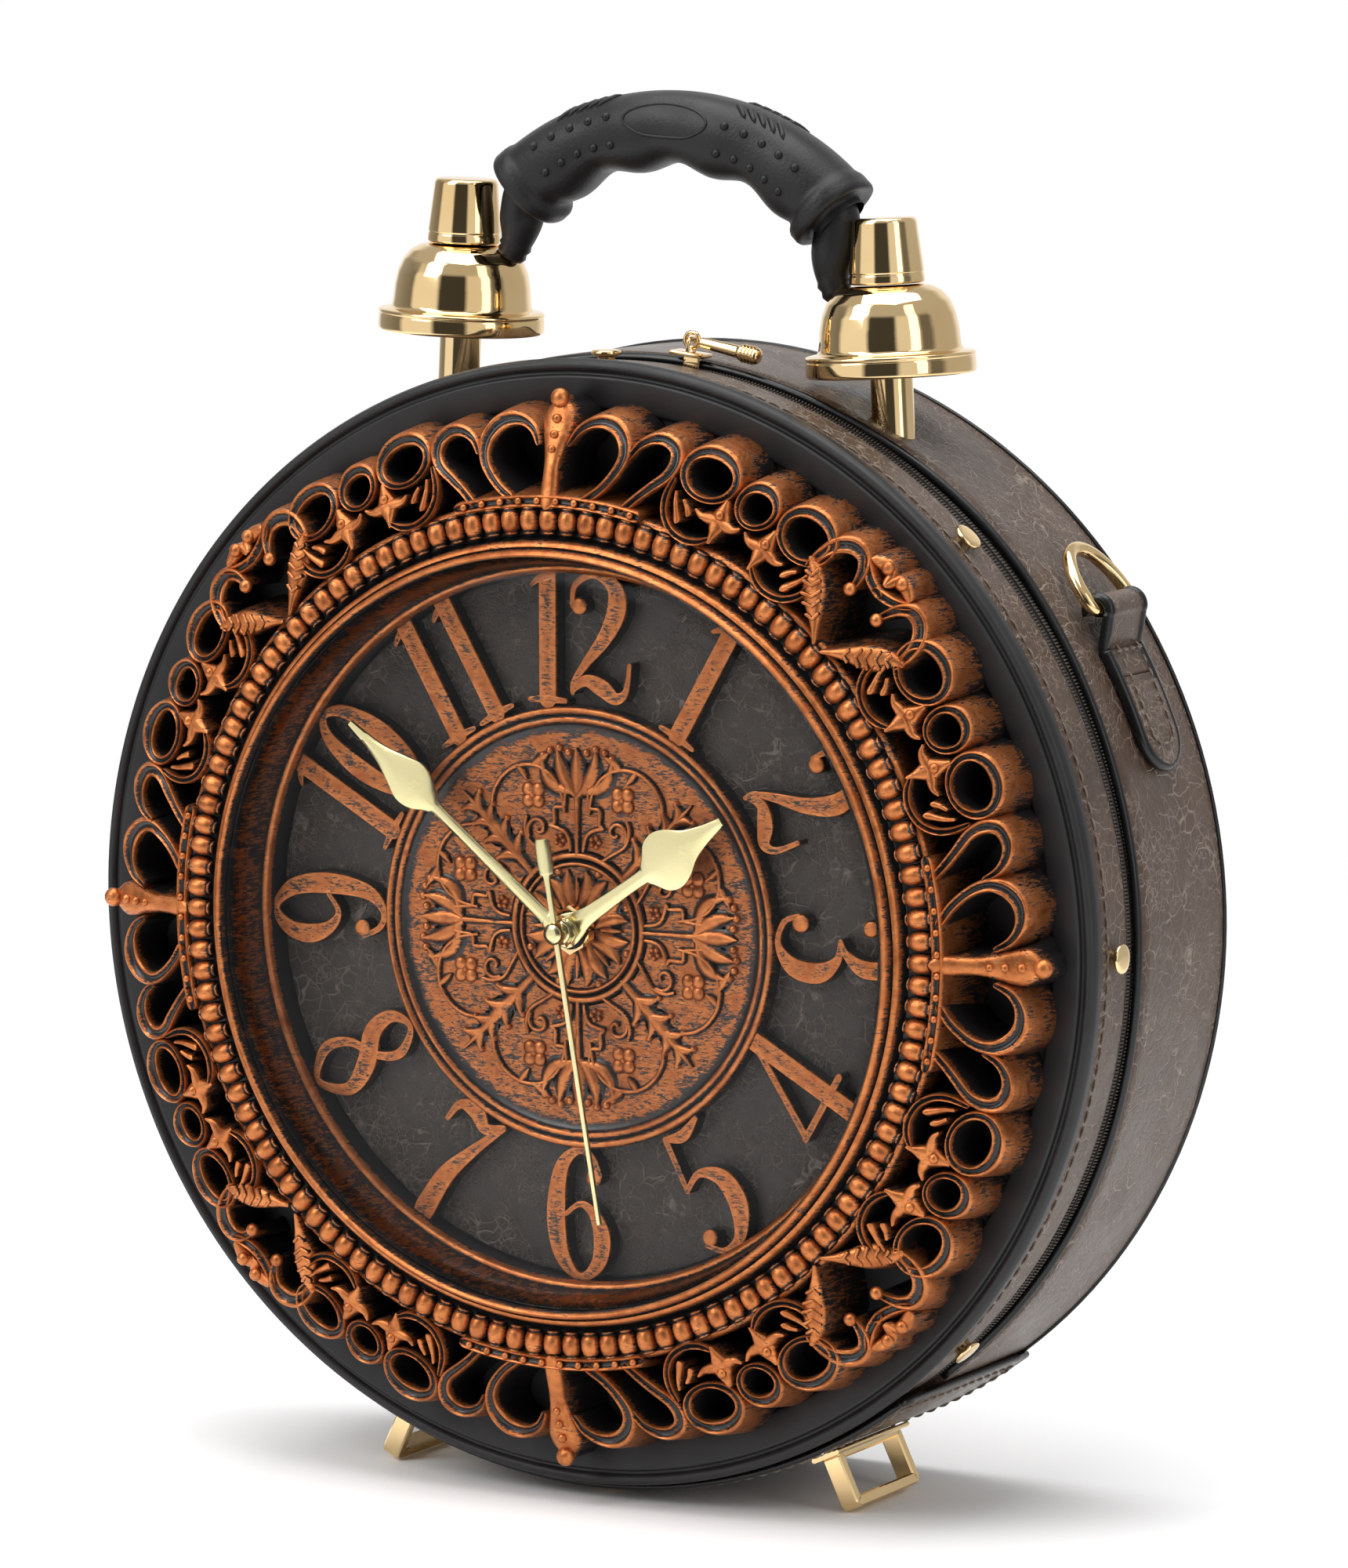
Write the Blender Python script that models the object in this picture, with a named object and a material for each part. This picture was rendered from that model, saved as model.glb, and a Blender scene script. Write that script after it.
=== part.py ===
"""Round clamshell handbag styled as a twin-bell alarm clock, with a working quartz clock for its door.

Metres, +Z up, the dial faces -Y. The origin is on the ground under the middle of the bag.
Every piece is placed from the clock's centre, which is an empty: x to the right of the dial,
y backwards into the bag from the front edge of the rim, z up.
Clock angles run clockwise from twelve, as seen from the front, in degrees.
"""
import math

import bmesh
import bpy
from mathutils import Matrix, Vector
from mathutils.geometry import interpolate_bezier

GAP = 0.0003                      # clearance kept between pieces that touch

# ---- driving dimensions -------------------------------------------------------------------
BODY_R = 0.120                    # outside of the rim and of the back shell
FOOT_TILT = 25.0                  # each foot stands this far round from the bottom
FOOT_END_R = 0.1350               # outer face of a foot's loop
FOOT_WIDTH = 0.0043               # width of the foot's ribbon
FOOT_PLATE_R = PANEL_OUT = 0.1216
FOOT_Y = (0.0120, 0.0410)
FRONT_MOST = -0.0190              # the bezel's ridge
BACK_MOST = 0.0630                # the back panel's flat face
CENTRE_Y = -0.5 * (FRONT_MOST + BACK_MOST)
CENTRE_HEIGHT = (FOOT_END_R * math.cos(math.radians(FOOT_TILT))
                 + 0.5 * FOOT_WIDTH * math.sin(math.radians(FOOT_TILT)))

# back shell and zip
MOUTH_Y = 0.0225                  # front edge of the shell's wall
WALL_BACK_Y = 0.0612
WALL_THICK = 0.0030
LINING_THICK = 0.0006
ZIP_END = 146.0                   # the zip runs this far each way from twelve
ZIP_R = (0.1166, 0.1183)
ZIP_FRONT_Y = (0.0176, 0.0194)
ZIP_REAR_Y = (0.0206, 0.0222)
PIPING_R = 0.1194
PIPING_Y = 0.02145
PIPING_BEAD = 0.0008
PIPING_END = 142.0
PANEL_R = (0.1203, PANEL_OUT)     # leather base panel that the door hinges on
PANEL_Y = (0.0032, 0.0625)
PANEL_HALF = 37.5

# door
BAND_Y = (0.0044, 0.0173)
BAND_R = (0.1158, 0.1188)
PLATE_Y = 0.0012                  # front of the recessed black plate
BOARD_Y = (0.0152, 0.0172)
BOARD_R = 0.1154
ORNAMENT_R = (0.0914, 0.1098)
BEZEL_R = 0.0911
DIAL_R = 0.0748
DIAL_Y = (0.0001, 0.0009)
NUMERAL_R = (0.0474, 0.0748)
NUMERAL_Y = (-0.0036, -0.0002)
MEDALLION_R = 0.0471
LENS_R = 0.0793
LENS_Y = (-0.0166, -0.0153)
HUB_R = 0.0039                    # threaded bush of the movement
HUB_BORE = 0.0025
RIVET_Y = 0.0100
RIVETS = {"rivet_12": 0.0, "rivet_1_30": 45.0, "rivet_3": 90.0, "rivet_4_30": 135.0,
          "rivet_7_30": 225.0, "rivet_9": 270.0, "rivet_10_30": 315.0}

# hands: clock angle at rest and depth of the middle of each
HOUR_ANGLE = 55.7
MINUTE_ANGLE = 309.0
SECOND_ANGLE = 170.5
HOUR_Y = -0.0084
MINUTE_Y = -0.0106
SECOND_Y = -0.0128
HAND_THICK = 0.0006
HOUR_PIPE = (0.0016, 0.0022)      # bore and outside of the pipes the hands sit on
MINUTE_PIPE = (0.0008, 0.0012)
ARBOR_R = 0.0005
BUSH_FRONT = -0.0072

# quartz movement: distances between the wheels' axes
CASE_HALF = 0.0280
CASE_Y = (0.0026, 0.0175)
CASE_WALL = 0.0011
GEAR_FLOOR_Z = -0.0080            # lower side of the pocket for the wheels
BATTERY_R = 0.0071
BATTERY_HALF = 0.0252
BATTERY_Z = -0.0186
BATTERY_Y = 0.0112
TRAIN_A = 0.0072                  # centre to third wheel
MOTION_A = 0.0060                 # centre to motion wheel
SECONDS_A = 0.0080                # centre to intermediate wheel
ROTOR_A = 0.0060                  # intermediate wheel to rotor
SETTING_A = 0.0075                # motion wheel to setting gear
TOOTH = 0.00015                   # the discs stand this far inside their pitch circles

# bells, posts and handle
BELL_Y = 0.0335
BELL_LEAN = 3.0                   # each bell leans this much towards the other
HANDLE_X = 0.0030                 # the handle set stands this far right of the middle
BELL_SPAN = 0.1060
BELL_BASE_Z = {1: 0.1040, -1: 0.1102}
POST_R = 0.0045
POST_SHOW = 0.0121                # from the shell to the bell's rim
POST_SINK = {1: 0.0092, -1: 0.0125}   # how far each post runs on into the shell
NUT_R = 0.0070
NUT_HEIGHT = 0.0018
DOME_HEIGHT = 0.0190
CAP_HEIGHT = 0.0138
NECK_OFFSET = 0.0116              # from a bell's axis to the handle's neck
GRIP_ARC_R = 0.0537
GRIP_HALF = 43.5
GRIP_TILT = 3.0
GRIP_CENTRE_Z = 0.1129            # centre of the grip's arc
CORE_R = 0.0052
NECK_R = 0.0024

# carrying rings
RING_CLOCK = 56.5
RING_Y = 0.0410
RING_PIVOT_R = 0.1245
RING_WIRE = 0.0015
RING_WIDTH = 0.0195
RING_LENGTH = 0.0150
TAB_END = 72.0
TAB_WIDTH = 0.0152
TAB_THICK = 0.0023
FOLD_R = 0.0034

# zip slider
SLIDER_CLOCK = 7.0
SLIDER_TOP_R = 0.1206
SLIDER_PIN_R = 0.1240
SLIDER_Y = 0.0200
PULL_LENGTH = 0.0165
PULL_REST = 4.0                   # the pull lies this much down from the slider's tangent

# ---- roundness: sides of the large, middling and small turned pieces ------------------------
LARGE = 56
MIDDLE = 40
SMALL = 24
SEAM_ANGLE = math.radians(35.0)
SIDES = {1: "right", -1: "left"}


# ---- helpers ------------------------------------------------------------------------------
def clear_scene():
    for item in list(bpy.data.objects):
        bpy.data.objects.remove(item, do_unlink=True)


def material(name, colour, roughness, metallic):
    made = bpy.data.materials.new(name)
    made.use_nodes = True
    shader = made.node_tree.nodes["Principled BSDF"]
    shader.inputs["Base Color"].default_value = (*colour, 1.0)
    shader.inputs["Roughness"].default_value = roughness
    shader.inputs["Metallic"].default_value = metallic
    return made


def clock_point(radius, clock, y=0.0):
    """Point at a radius and clock angle round the dial's axis."""
    angle = math.radians(clock)
    return Vector((radius * math.sin(angle), y, radius * math.cos(angle)))


def turn_point(radius, along, angle, axis):
    if axis == "Y":
        return Vector((radius * math.sin(angle), along, radius * math.cos(angle)))
    return Vector((radius * math.cos(angle), radius * math.sin(angle), along))


def join_rings(bm, rings, loop=True, wrap=False):
    """Faces between neighbouring rings of vertices; loop closes each ring, wrap the row of them."""
    count = len(rings[0])
    for i in range(len(rings) if wrap else len(rings) - 1):
        ring, after = rings[i], rings[(i + 1) % len(rings)]
        for j in range(count if loop else count - 1):
            k = (j + 1) % count
            corners = []
            for vert in (ring[j], ring[k], after[k], after[j]):
                if vert not in corners:
                    corners.append(vert)
            if len(corners) > 2:
                bm.faces.new(corners)


def outward(bm):
    bmesh.ops.recalc_face_normals(bm, faces=bm.faces)
    return bm


def turned(profile, segments, axis="Y", start=0.0, sweep=360.0):
    """Solid of revolution of (radius, along) points, whole or part of a turn.

    A profile that starts and ends at radius 0 makes a bar or disc, any other one a ring.
    """
    bm = bmesh.new()
    whole = sweep >= 360.0
    poles = {point: bm.verts.new(turn_point(0.0, point[1], 0.0, axis))
             for point in profile if point[0] == 0.0}
    rings = []
    for i in range(segments if whole else segments + 1):
        angle = math.radians(start + sweep * i / segments)
        rings.append([poles[point] if point in poles
                      else bm.verts.new(turn_point(point[0], point[1], angle, axis))
                      for point in profile])
    join_rings(bm, rings, loop=not poles, wrap=whole)
    if not whole:
        bm.faces.new(rings[0])
        bm.faces.new(rings[-1])
    return outward(bm)


def cylinder(radius, low, high, segments, axis="Y"):
    return turned([(0.0, low), (radius, low), (radius, high), (0.0, high)], segments, axis)


def tube(inner, outer, low, high, segments, axis="Y"):
    return turned([(inner, low), (outer, low), (outer, high), (inner, high)], segments, axis)


def plate(outlines, y_front, y_back):
    """Flat plate between two depths from (x, z) outlines; the later outlines are holes."""
    bm = bmesh.new()
    edges = []
    for outline in outlines:
        verts = [bm.verts.new((x, y_front, z)) for x, z in outline]
        for i, vert in enumerate(verts):
            edges.append(bm.edges.new((vert, verts[(i + 1) % len(verts)])))
    bmesh.ops.triangle_fill(bm, use_beauty=True, edges=edges)
    made = bmesh.ops.extrude_face_region(bm, geom=list(bm.faces))
    moved = [item for item in made["geom"] if isinstance(item, bmesh.types.BMVert)]
    bmesh.ops.translate(bm, verts=moved, vec=(0.0, y_back - y_front, 0.0))
    return outward(bm)


def arc(radius, start, end, steps, centre=(0.0, 0.0)):
    """(x, z) points along an arc between two clock angles, both ends included."""
    points = []
    for i in range(steps + 1):
        angle = math.radians(start + (end - start) * i / steps)
        points.append((centre[0] + radius * math.sin(angle), centre[1] + radius * math.cos(angle)))
    return points


def circle(radius, count, centre=(0.0, 0.0)):
    return arc(radius, 0.0, 360.0 * (count - 1) / count, count - 1, centre)


def rectangle(x_low, x_high, z_low, z_high):
    return [(x_low, z_low), (x_high, z_low), (x_high, z_high), (x_low, z_high)]


def block(x_range, y_range, z_range):
    return plate([rectangle(*x_range, *z_range)], *y_range)


def hex_nut(bore, corner, low, high, axis="Y"):
    """Six-sided nut with a round bore."""
    bm = plate([circle(corner, 6), circle(bore, 18)], low, high)
    if axis == "Z":
        bmesh.ops.rotate(bm, verts=bm.verts, matrix=Matrix.Rotation(0.5 * math.pi, 3, "X"))
    return bm


def swept(rings, wrap=False):
    """Solid through rings of points, capped at both ends unless the row of rings wraps."""
    bm = bmesh.new()
    made = [[bm.verts.new(point) for point in ring] for ring in rings]
    join_rings(bm, made, wrap=wrap)
    if not wrap:
        bm.faces.new(made[0])
        bm.faces.new(made[-1])
    return outward(bm)


def add(name, bm, finish, location=(0.0, 0.0, 0.0), rotation=(0.0, 0.0, 0.0)):
    """Object from a mesh, under the empty at the clock's centre."""
    mesh = bpy.data.meshes.new(name)
    bm.to_mesh(mesh)
    bm.free()
    mesh.materials.append(finish)
    mesh.shade_smooth()
    mesh.set_sharp_from_angle(angle=SEAM_ANGLE)
    made = bpy.data.objects.new(name, mesh)
    bpy.context.scene.collection.objects.link(made)
    made.parent = bpy.data.objects["clock_centre"]
    made.location = location
    made.rotation_euler = rotation
    return made


def cut(target, name, bm, location=(0.0, 0.0, 0.0), rotation=(0.0, 0.0, 0.0), operation="DIFFERENCE"):
    """Take a hidden helper shape from the target, or join it on."""
    shape = add(name, bm, target.data.materials[0], location, rotation)
    shape.hide_render = True
    shape.display_type = "WIRE"
    modifier = target.modifiers.new(name, "BOOLEAN")
    modifier.operation = operation
    modifier.object = shape


def join(target, name, bm, location=(0.0, 0.0, 0.0), rotation=(0.0, 0.0, 0.0)):
    cut(target, name, bm, location, rotation, "UNION")


# ---- back shell ---------------------------------------------------------------------------
def bell_base(side):
    """Foot of a post's axis on the shell; side is +1 on the right and -1 on the left."""
    return Vector((HANDLE_X + side * 0.5 * BELL_SPAN, BELL_Y, BELL_BASE_Z[side]))


def bell_turn(side):
    """The post's lean, towards the middle of the bag."""
    return (0.0, -side * math.radians(BELL_LEAN), 0.0)


def make_shell(leather, cloth, trim):
    inner = BODY_R - WALL_THICK
    wall = add("shell_wall", tube(inner, BODY_R, MOUTH_Y, WALL_BACK_Y, LARGE), leather)
    edge = 0.0010
    add("back_panel", turned([(0.0, WALL_BACK_Y + GAP), (BODY_R, WALL_BACK_Y + GAP),
                              (BODY_R, BACK_MOST - edge), (BODY_R - edge, BACK_MOST),
                              (0.0, BACK_MOST)], LARGE), leather)
    outside = inner - GAP
    inside = outside - LINING_THICK
    floor_y = WALL_BACK_Y - LINING_THICK
    lining = add("shell_lining", turned([(0.0, floor_y), (inside, floor_y), (inside, MOUTH_Y),
                                         (outside, MOUTH_Y), (outside, WALL_BACK_Y),
                                         (0.0, WALL_BACK_Y)], LARGE), cloth)
    for side, label in SIDES.items():
        place = (bell_base(side), bell_turn(side))
        cut(wall, "post_hole_" + label, cylinder(POST_R + GAP, -0.012, 0.012, 18, "Z"), *place)
        cut(lining, "nut_relief_" + label, cylinder(0.0092, -0.016, 0.006, 18, "Z"), *place)
    bead = []
    for i in range(6):
        angle = math.radians(60.0 * i)
        bead.append((PIPING_R + PIPING_BEAD * math.cos(angle), PIPING_Y + PIPING_BEAD * math.sin(angle)))
    add("mouth_piping", turned(bead, MIDDLE, "Y", -PIPING_END, 2.0 * PIPING_END), trim)


def make_base(leather, gold):
    """Leather base panel, the rivet through it, and the two feet."""
    add("base_panel", turned([(PANEL_R[0], PANEL_Y[0]), (PANEL_R[1], PANEL_Y[0]),
                              (PANEL_R[1], PANEL_Y[1]), (PANEL_R[0], PANEL_Y[1])],
                             20, "Y", 180.0 - PANEL_HALF, 2.0 * PANEL_HALF), leather)
    seat = PANEL_R[1] + GAP
    add("rivet_6", cylinder(0.0031, seat, seat + 0.0008, 14, "Z"), gold,
        (0.0, RIVET_Y, 0.0), (0.0, math.pi, 0.0))
    top = FOOT_PLATE_R + GAP
    foot_plate = 0.0011
    overlap = 0.0002
    for side, label in SIDES.items():
        turn = (0.0, math.radians(180.0 - side * FOOT_TILT), 0.0)
        foot = add("foot_" + label, block((-0.0035, 0.0035), (FOOT_Y[0] - 0.002, FOOT_Y[1] + 0.002),
                                          (top, top + foot_plate)), gold, rotation=turn)
        half = 0.5 * FOOT_WIDTH
        loop_top = top + foot_plate - overlap
        join(foot, "loop_solid_" + label,
             block((-half, half), FOOT_Y, (loop_top, FOOT_END_R)), rotation=turn)
        bar = 0.0026
        window = block((-0.006, 0.006), (FOOT_Y[0] + bar, FOOT_Y[1] - bar),
                       (top + foot_plate, FOOT_END_R - 0.0018))
        cut(foot, "loop_window_" + label, window, rotation=turn)


def make_zip(tape):
    for name, y_range in (("zip_front_half", ZIP_FRONT_Y), ("zip_rear_half", ZIP_REAR_Y)):
        profile = [(ZIP_R[0], y_range[0]), (ZIP_R[1], y_range[0]),
                   (ZIP_R[1], y_range[1]), (ZIP_R[0], y_range[1])]
        add(name, turned(profile, MIDDLE, "Y", -ZIP_END, 2.0 * ZIP_END), tape)


def make_slider(gold):
    """Slider with plates over and under the teeth, and the pull on its pin."""
    half = 0.0040
    turn = (0.0, math.radians(SLIDER_CLOCK), 0.0)
    top = SLIDER_TOP_R
    pin_top = SLIDER_PIN_R + 0.0005
    slider = add("zip_slider", block((-half, half), (0.0174, 0.0226), (top, top + 0.0009)), gold,
                 rotation=turn)
    join(slider, "slider_web", block((-0.0015, 0.0025), (0.01975, 0.02025), (0.1158, top + 0.0004)),
         rotation=turn)
    join(slider, "slider_under", block((-half, half), (0.0176, 0.0220), (0.1152, 0.1162)), rotation=turn)
    join(slider, "slider_bridge", block((-0.0006, 0.0006), (0.0182, 0.0218), (top + 0.0005, pin_top)),
         rotation=turn)
    cut(slider, "bridge_window", block((-0.002, 0.002), (0.0187, 0.0213), (top + 0.0009, pin_top - 0.0011)),
        rotation=turn)
    eye = 0.0021
    thick = 0.0016
    knob = 0.0019
    step = PULL_LENGTH - 0.0048
    outline = arc(eye, 120.0, 420.0, 14)
    outline += [(step, 0.0014), (step, knob), (PULL_LENGTH, knob),
                (PULL_LENGTH, -knob), (step, -knob), (step, -0.0014)]
    tilt = math.radians(SLIDER_CLOCK + PULL_REST)
    pin = clock_point(SLIDER_PIN_R, SLIDER_CLOCK, SLIDER_Y)
    add("zip_pull", plate([outline, circle(0.0012, 10)], -0.5 * thick, 0.5 * thick), gold,
        pin, (0.0, tilt, 0.0))


# ---- carrying rings -----------------------------------------------------------------------
def ring_path():
    """(across, along) centre line of a ring: a straight bar at 0 and a round bow above it."""
    half = 0.5 * RING_WIDTH
    corner = 0.0030
    points = arc(corner, 180.0, 90.0, 4, (half - corner, corner))
    for i in range(1, 12):
        angle = math.pi * i / 12
        points.append((half * math.cos(angle), corner + (RING_LENGTH - corner) * math.sin(angle)))
    points += arc(corner, 270.0, 180.0, 4, (corner - half, corner))
    return points


def make_ring(side, label, gold):
    """Wire ring that turns on its straight bar; the bar's middle is its origin."""
    path = ring_path()
    rings = []
    for i, (across, along) in enumerate(path):
        before, after = path[i - 1], path[(i + 1) % len(path)]
        run = Vector((0.0, after[0] - before[0], after[1] - before[1])).normalized()
        normal = Vector((1.0, 0.0, 0.0))
        other = run.cross(normal)
        centre = Vector((0.0, across, along))
        ring = []
        for k in range(8):
            angle = math.tau * k / 8
            ring.append(centre + RING_WIRE * (math.cos(angle) * normal + math.sin(angle) * other))
        rings.append(ring)
    lie = RING_CLOCK - 90.0 - 4.0
    add("ring_" + label, swept(rings, wrap=True), gold,
        clock_point(RING_PIVOT_R, side * RING_CLOCK, RING_Y), (0.0, side * math.radians(lie), 0.0))


def make_tab(side, label, leather):
    """Leather strip folded over the ring's bar and sewn down on the shell."""
    seat = BODY_R + GAP
    outer = seat + TAB_THICK
    pivot = clock_point(RING_PIVOT_R, side * RING_CLOCK)
    centre = (pivot.x, pivot.z)
    outline = arc(seat, side * TAB_END, side * (RING_CLOCK + 0.4), 8)
    outline += arc(FOLD_R, side * (RING_CLOCK + 172.0), side * (RING_CLOCK + 432.0), 12, centre)
    outline += arc(outer, side * (RING_CLOCK + 2.6), side * TAB_END, 8)
    hole = circle(RING_WIRE + GAP, 12, centre)
    half = 0.5 * TAB_WIDTH
    add("ring_tab_" + label, plate([outline, hole], RING_Y - half, RING_Y + half), leather)


# ---- bells and handle ---------------------------------------------------------------------
def dome_outer():
    """(radius, height above the rim) down the outside of a bell, from its top."""
    top = DOME_HEIGHT
    return [(0.0070, top), (0.0100, top - 0.0008), (0.0126, top - 0.0028), (0.0143, top - 0.0056),
            (0.0150, top - 0.0094), (0.0151, 0.0042), (0.0158, 0.0034), (0.0174, 0.0031), (0.0180, 0.0022)]


def make_bell(side, label, gold):
    place = (bell_base(side), bell_turn(side))
    wall = 0.0012
    outer = dome_outer()
    profile = [(0.0, POST_SHOW + DOME_HEIGHT)]
    profile += [(radius, POST_SHOW + height) for radius, height in outer]
    profile += [(0.0180, POST_SHOW), (0.0180 - wall, POST_SHOW)]
    profile += [(radius - wall, POST_SHOW + height - wall) for radius, height in reversed(outer[:-2])]
    profile += [(0.0, POST_SHOW + DOME_HEIGHT - wall)]
    add("bell_" + label, turned(profile, SMALL, "Z"), gold, *place)
    post_top = POST_SHOW + DOME_HEIGHT - wall - GAP
    add("bell_post_" + label, cylinder(POST_R, -POST_SINK[side], post_top, 18, "Z"), gold, *place)
    low = -POST_SINK[side]
    add("post_nut_" + label, hex_nut(POST_R + GAP, NUT_R, low, low + NUT_HEIGHT, "Z"), gold, *place)
    low = POST_SHOW + DOME_HEIGHT + GAP
    cap = [(0.0, low), (0.0079, low), (0.0080, low + 0.0006), (0.0068, low + CAP_HEIGHT - 0.0009),
           (0.0061, low + CAP_HEIGHT - 0.0003), (0.0, low + CAP_HEIGHT)]
    add("bell_cap_" + label, turned(cap, SMALL, "Z"), gold, *place)


def grip_point(angle):
    """Point of the handle's arc at an angle right of its top, with its outward direction."""
    turn = math.radians(angle + GRIP_TILT)
    out = Vector((math.sin(turn), 0.0, math.cos(turn)))
    return Vector((HANDLE_X, BELL_Y, GRIP_CENTRE_Z)) + GRIP_ARC_R * out, out


def handle_path():
    """Centre line of the core from the left bell's shoulder over the arc to the right one's."""
    count = 16
    middle = [grip_point(-GRIP_HALF + 2.0 * GRIP_HALF * i / count)[0] for i in range(count + 1)]
    ends = {}
    for side in SIDES:
        frame = Matrix.Translation(bell_base(side)) @ Matrix.Rotation(bell_turn(side)[1], 4, "Y")
        lean = math.radians(32.0)
        stand = POST_SHOW + DOME_HEIGHT - 0.0013
        foot = frame @ Vector((-side * NECK_OFFSET, 0.0, stand))
        up = frame.to_3x3() @ Vector((-side * math.sin(lean), 0.0, math.cos(lean)))
        start = middle[-1] if side > 0 else middle[0]
        out = grip_point(side * GRIP_HALF)[1]
        along = Vector((side * out.z, 0.0, -side * out.x))
        curve = interpolate_bezier(start, start + 0.0034 * along, foot + 0.0070 * up, foot, 9)
        ends[side] = curve[1:]
    return list(reversed(ends[-1])) + middle + ends[1]


def make_handle(rubber):
    path = handle_path()
    across = Vector((0.0, 1.0, 0.0))
    rings = []
    for i, point in enumerate(path):
        run = (path[min(i + 1, len(path) - 1)] - path[max(i - 1, 0)]).normalized()
        side = run.cross(across)
        from_end = min(i, len(path) - 1 - i)
        radius = min(CORE_R, NECK_R + 0.00022 * from_end)
        ring = []
        for k in range(12):
            angle = math.tau * k / 12
            ring.append(point + radius * (math.cos(angle) * across + math.sin(angle) * side))
        rings.append(ring)
    add("handle_core", swept(rings), rubber)


def make_grip(rubber):
    """Moulded sleeve on the core, with four finger hollows beneath."""
    bm = bmesh.new()
    stations = 20
    sides = 12
    outer, inner = [], []
    for i in range(stations + 1):
        angle = -GRIP_HALF + 2.0 * GRIP_HALF * i / stations
        centre, out = grip_point(angle)
        spread = abs(angle) / GRIP_HALF
        below = 0.0086 - 0.0014 * math.cos(math.radians(angle * 8.0)) + 0.0010 * spread
        above = 0.0084 + 0.0004 * spread
        wide = 0.0092 + 0.0006 * spread ** 4
        ring, hole = [], []
        for k in range(sides):
            turn = math.tau * k / sides
            height = math.cos(turn) * (above if math.cos(turn) > 0 else below)
            ring.append(bm.verts.new(centre + height * out + Vector((0.0, wide * math.sin(turn), 0.0))))
            bore = CORE_R + 2.0 * GAP
            hole.append(bm.verts.new(centre + bore * math.cos(turn) * out
                                     + Vector((0.0, bore * math.sin(turn), 0.0))))
        outer.append(ring)
        inner.append(hole)
    join_rings(bm, outer)
    join_rings(bm, inner)
    for end in (0, -1):
        join_rings(bm, [outer[end], inner[end]])
    add("handle_grip", outward(bm), rubber)


# ---- door ---------------------------------------------------------------------------------
def make_door_frame(black, leather, board):
    """Moulded rim with its recessed plate, the leather band and the door's inner board."""
    hub_hole = HUB_R + GAP
    rim = [(hub_hole, PLATE_Y), (0.1106, PLATE_Y), (0.1114, -0.0010), (0.1146, -0.0014), (0.1158, -0.0004),
           (0.1166, -0.0006), (0.1178, -0.0016), (0.1192, -0.0012), (BODY_R, 0.0002), (0.1199, 0.0024),
           (0.1184, 0.0041), (0.1150, 0.0041), (0.1120, 0.0022), (hub_hole, 0.0022)]
    add("door_rim", turned(rim, LARGE), black)
    low, high = BAND_R
    band = [(low, BAND_Y[0]), (high - 0.0008, BAND_Y[0]), (high, BAND_Y[0] + 0.0010),
            (high, BAND_Y[1] - 0.0010), (high - 0.0008, BAND_Y[1]), (low, BAND_Y[1])]
    add("door_band", turned(band, LARGE), leather)
    opening = CASE_HALF + 0.0012
    add("door_board", plate([circle(BOARD_R, LARGE), rectangle(-opening, opening, -opening, opening)],
                            *BOARD_Y), board)


def make_rivets(gold):
    """Shouldered caps on short stems round the door's band."""
    seat = BAND_R[1] + GAP
    profile = [(0.0, seat), (0.0017, seat), (0.0017, seat + 0.0012), (0.0031, seat + 0.0013),
               (0.0031, seat + 0.0023), (0.0, seat + 0.0024)]
    for name, clock in RIVETS.items():
        add(name, turned(profile, 14, "Z"), gold, (0.0, RIVET_Y, 0.0), (0.0, math.radians(clock), 0.0))


def ornament_outline(clock):
    """Outer radius of the filigree: a crown on each quarter, scrolls between and a horn on each diagonal."""
    quarter = abs((clock + 45.0) % 90.0 - 45.0)
    crown = 0.0058 * math.exp(-(quarter / 2.6) ** 2)
    scallop = 0.0012 * math.cos(math.radians(quarter * 32.0))
    dip = 0.0022 * math.exp(-((quarter - 27.0) / 9.0) ** 2)
    return ORNAMENT_R[1] - 0.0066 + crown + scallop - dip


def make_ornament(copper):
    rings = []
    stations = 80
    for i in range(stations):
        clock = 360.0 * i / stations
        outer = ornament_outline(clock)
        rings.append([clock_point(ORNAMENT_R[0], clock, PLATE_Y - GAP), clock_point(outer, clock, PLATE_Y - GAP),
                      clock_point(outer - 0.0016, clock, -0.0118), clock_point(0.0960, clock, -0.0140),
                      clock_point(ORNAMENT_R[0], clock, -0.0140)])
    add("ornament_ring", swept(rings, wrap=True), copper)


def make_bezel(copper):
    """Beaded ring, groove, ridge and deep inner wall down to a small foot ridge."""
    profile = [(BEZEL_R, PLATE_Y - GAP), (BEZEL_R, -0.0138), (0.0898, -0.0156), (0.0872, -0.0164),
               (0.0847, -0.0154), (0.0836, -0.0140), (0.0826, -0.0162), (0.0812, -0.0186), (0.0804, FRONT_MOST),
               (0.0797, -0.0184), (0.0797, -0.0150), (0.0784, -0.0148), (0.0772, -0.0060), (0.0762, -0.0050),
               (0.0752, -0.0042), (0.0752, PLATE_Y - GAP)]
    add("bezel", turned(profile, LARGE), copper)


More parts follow.
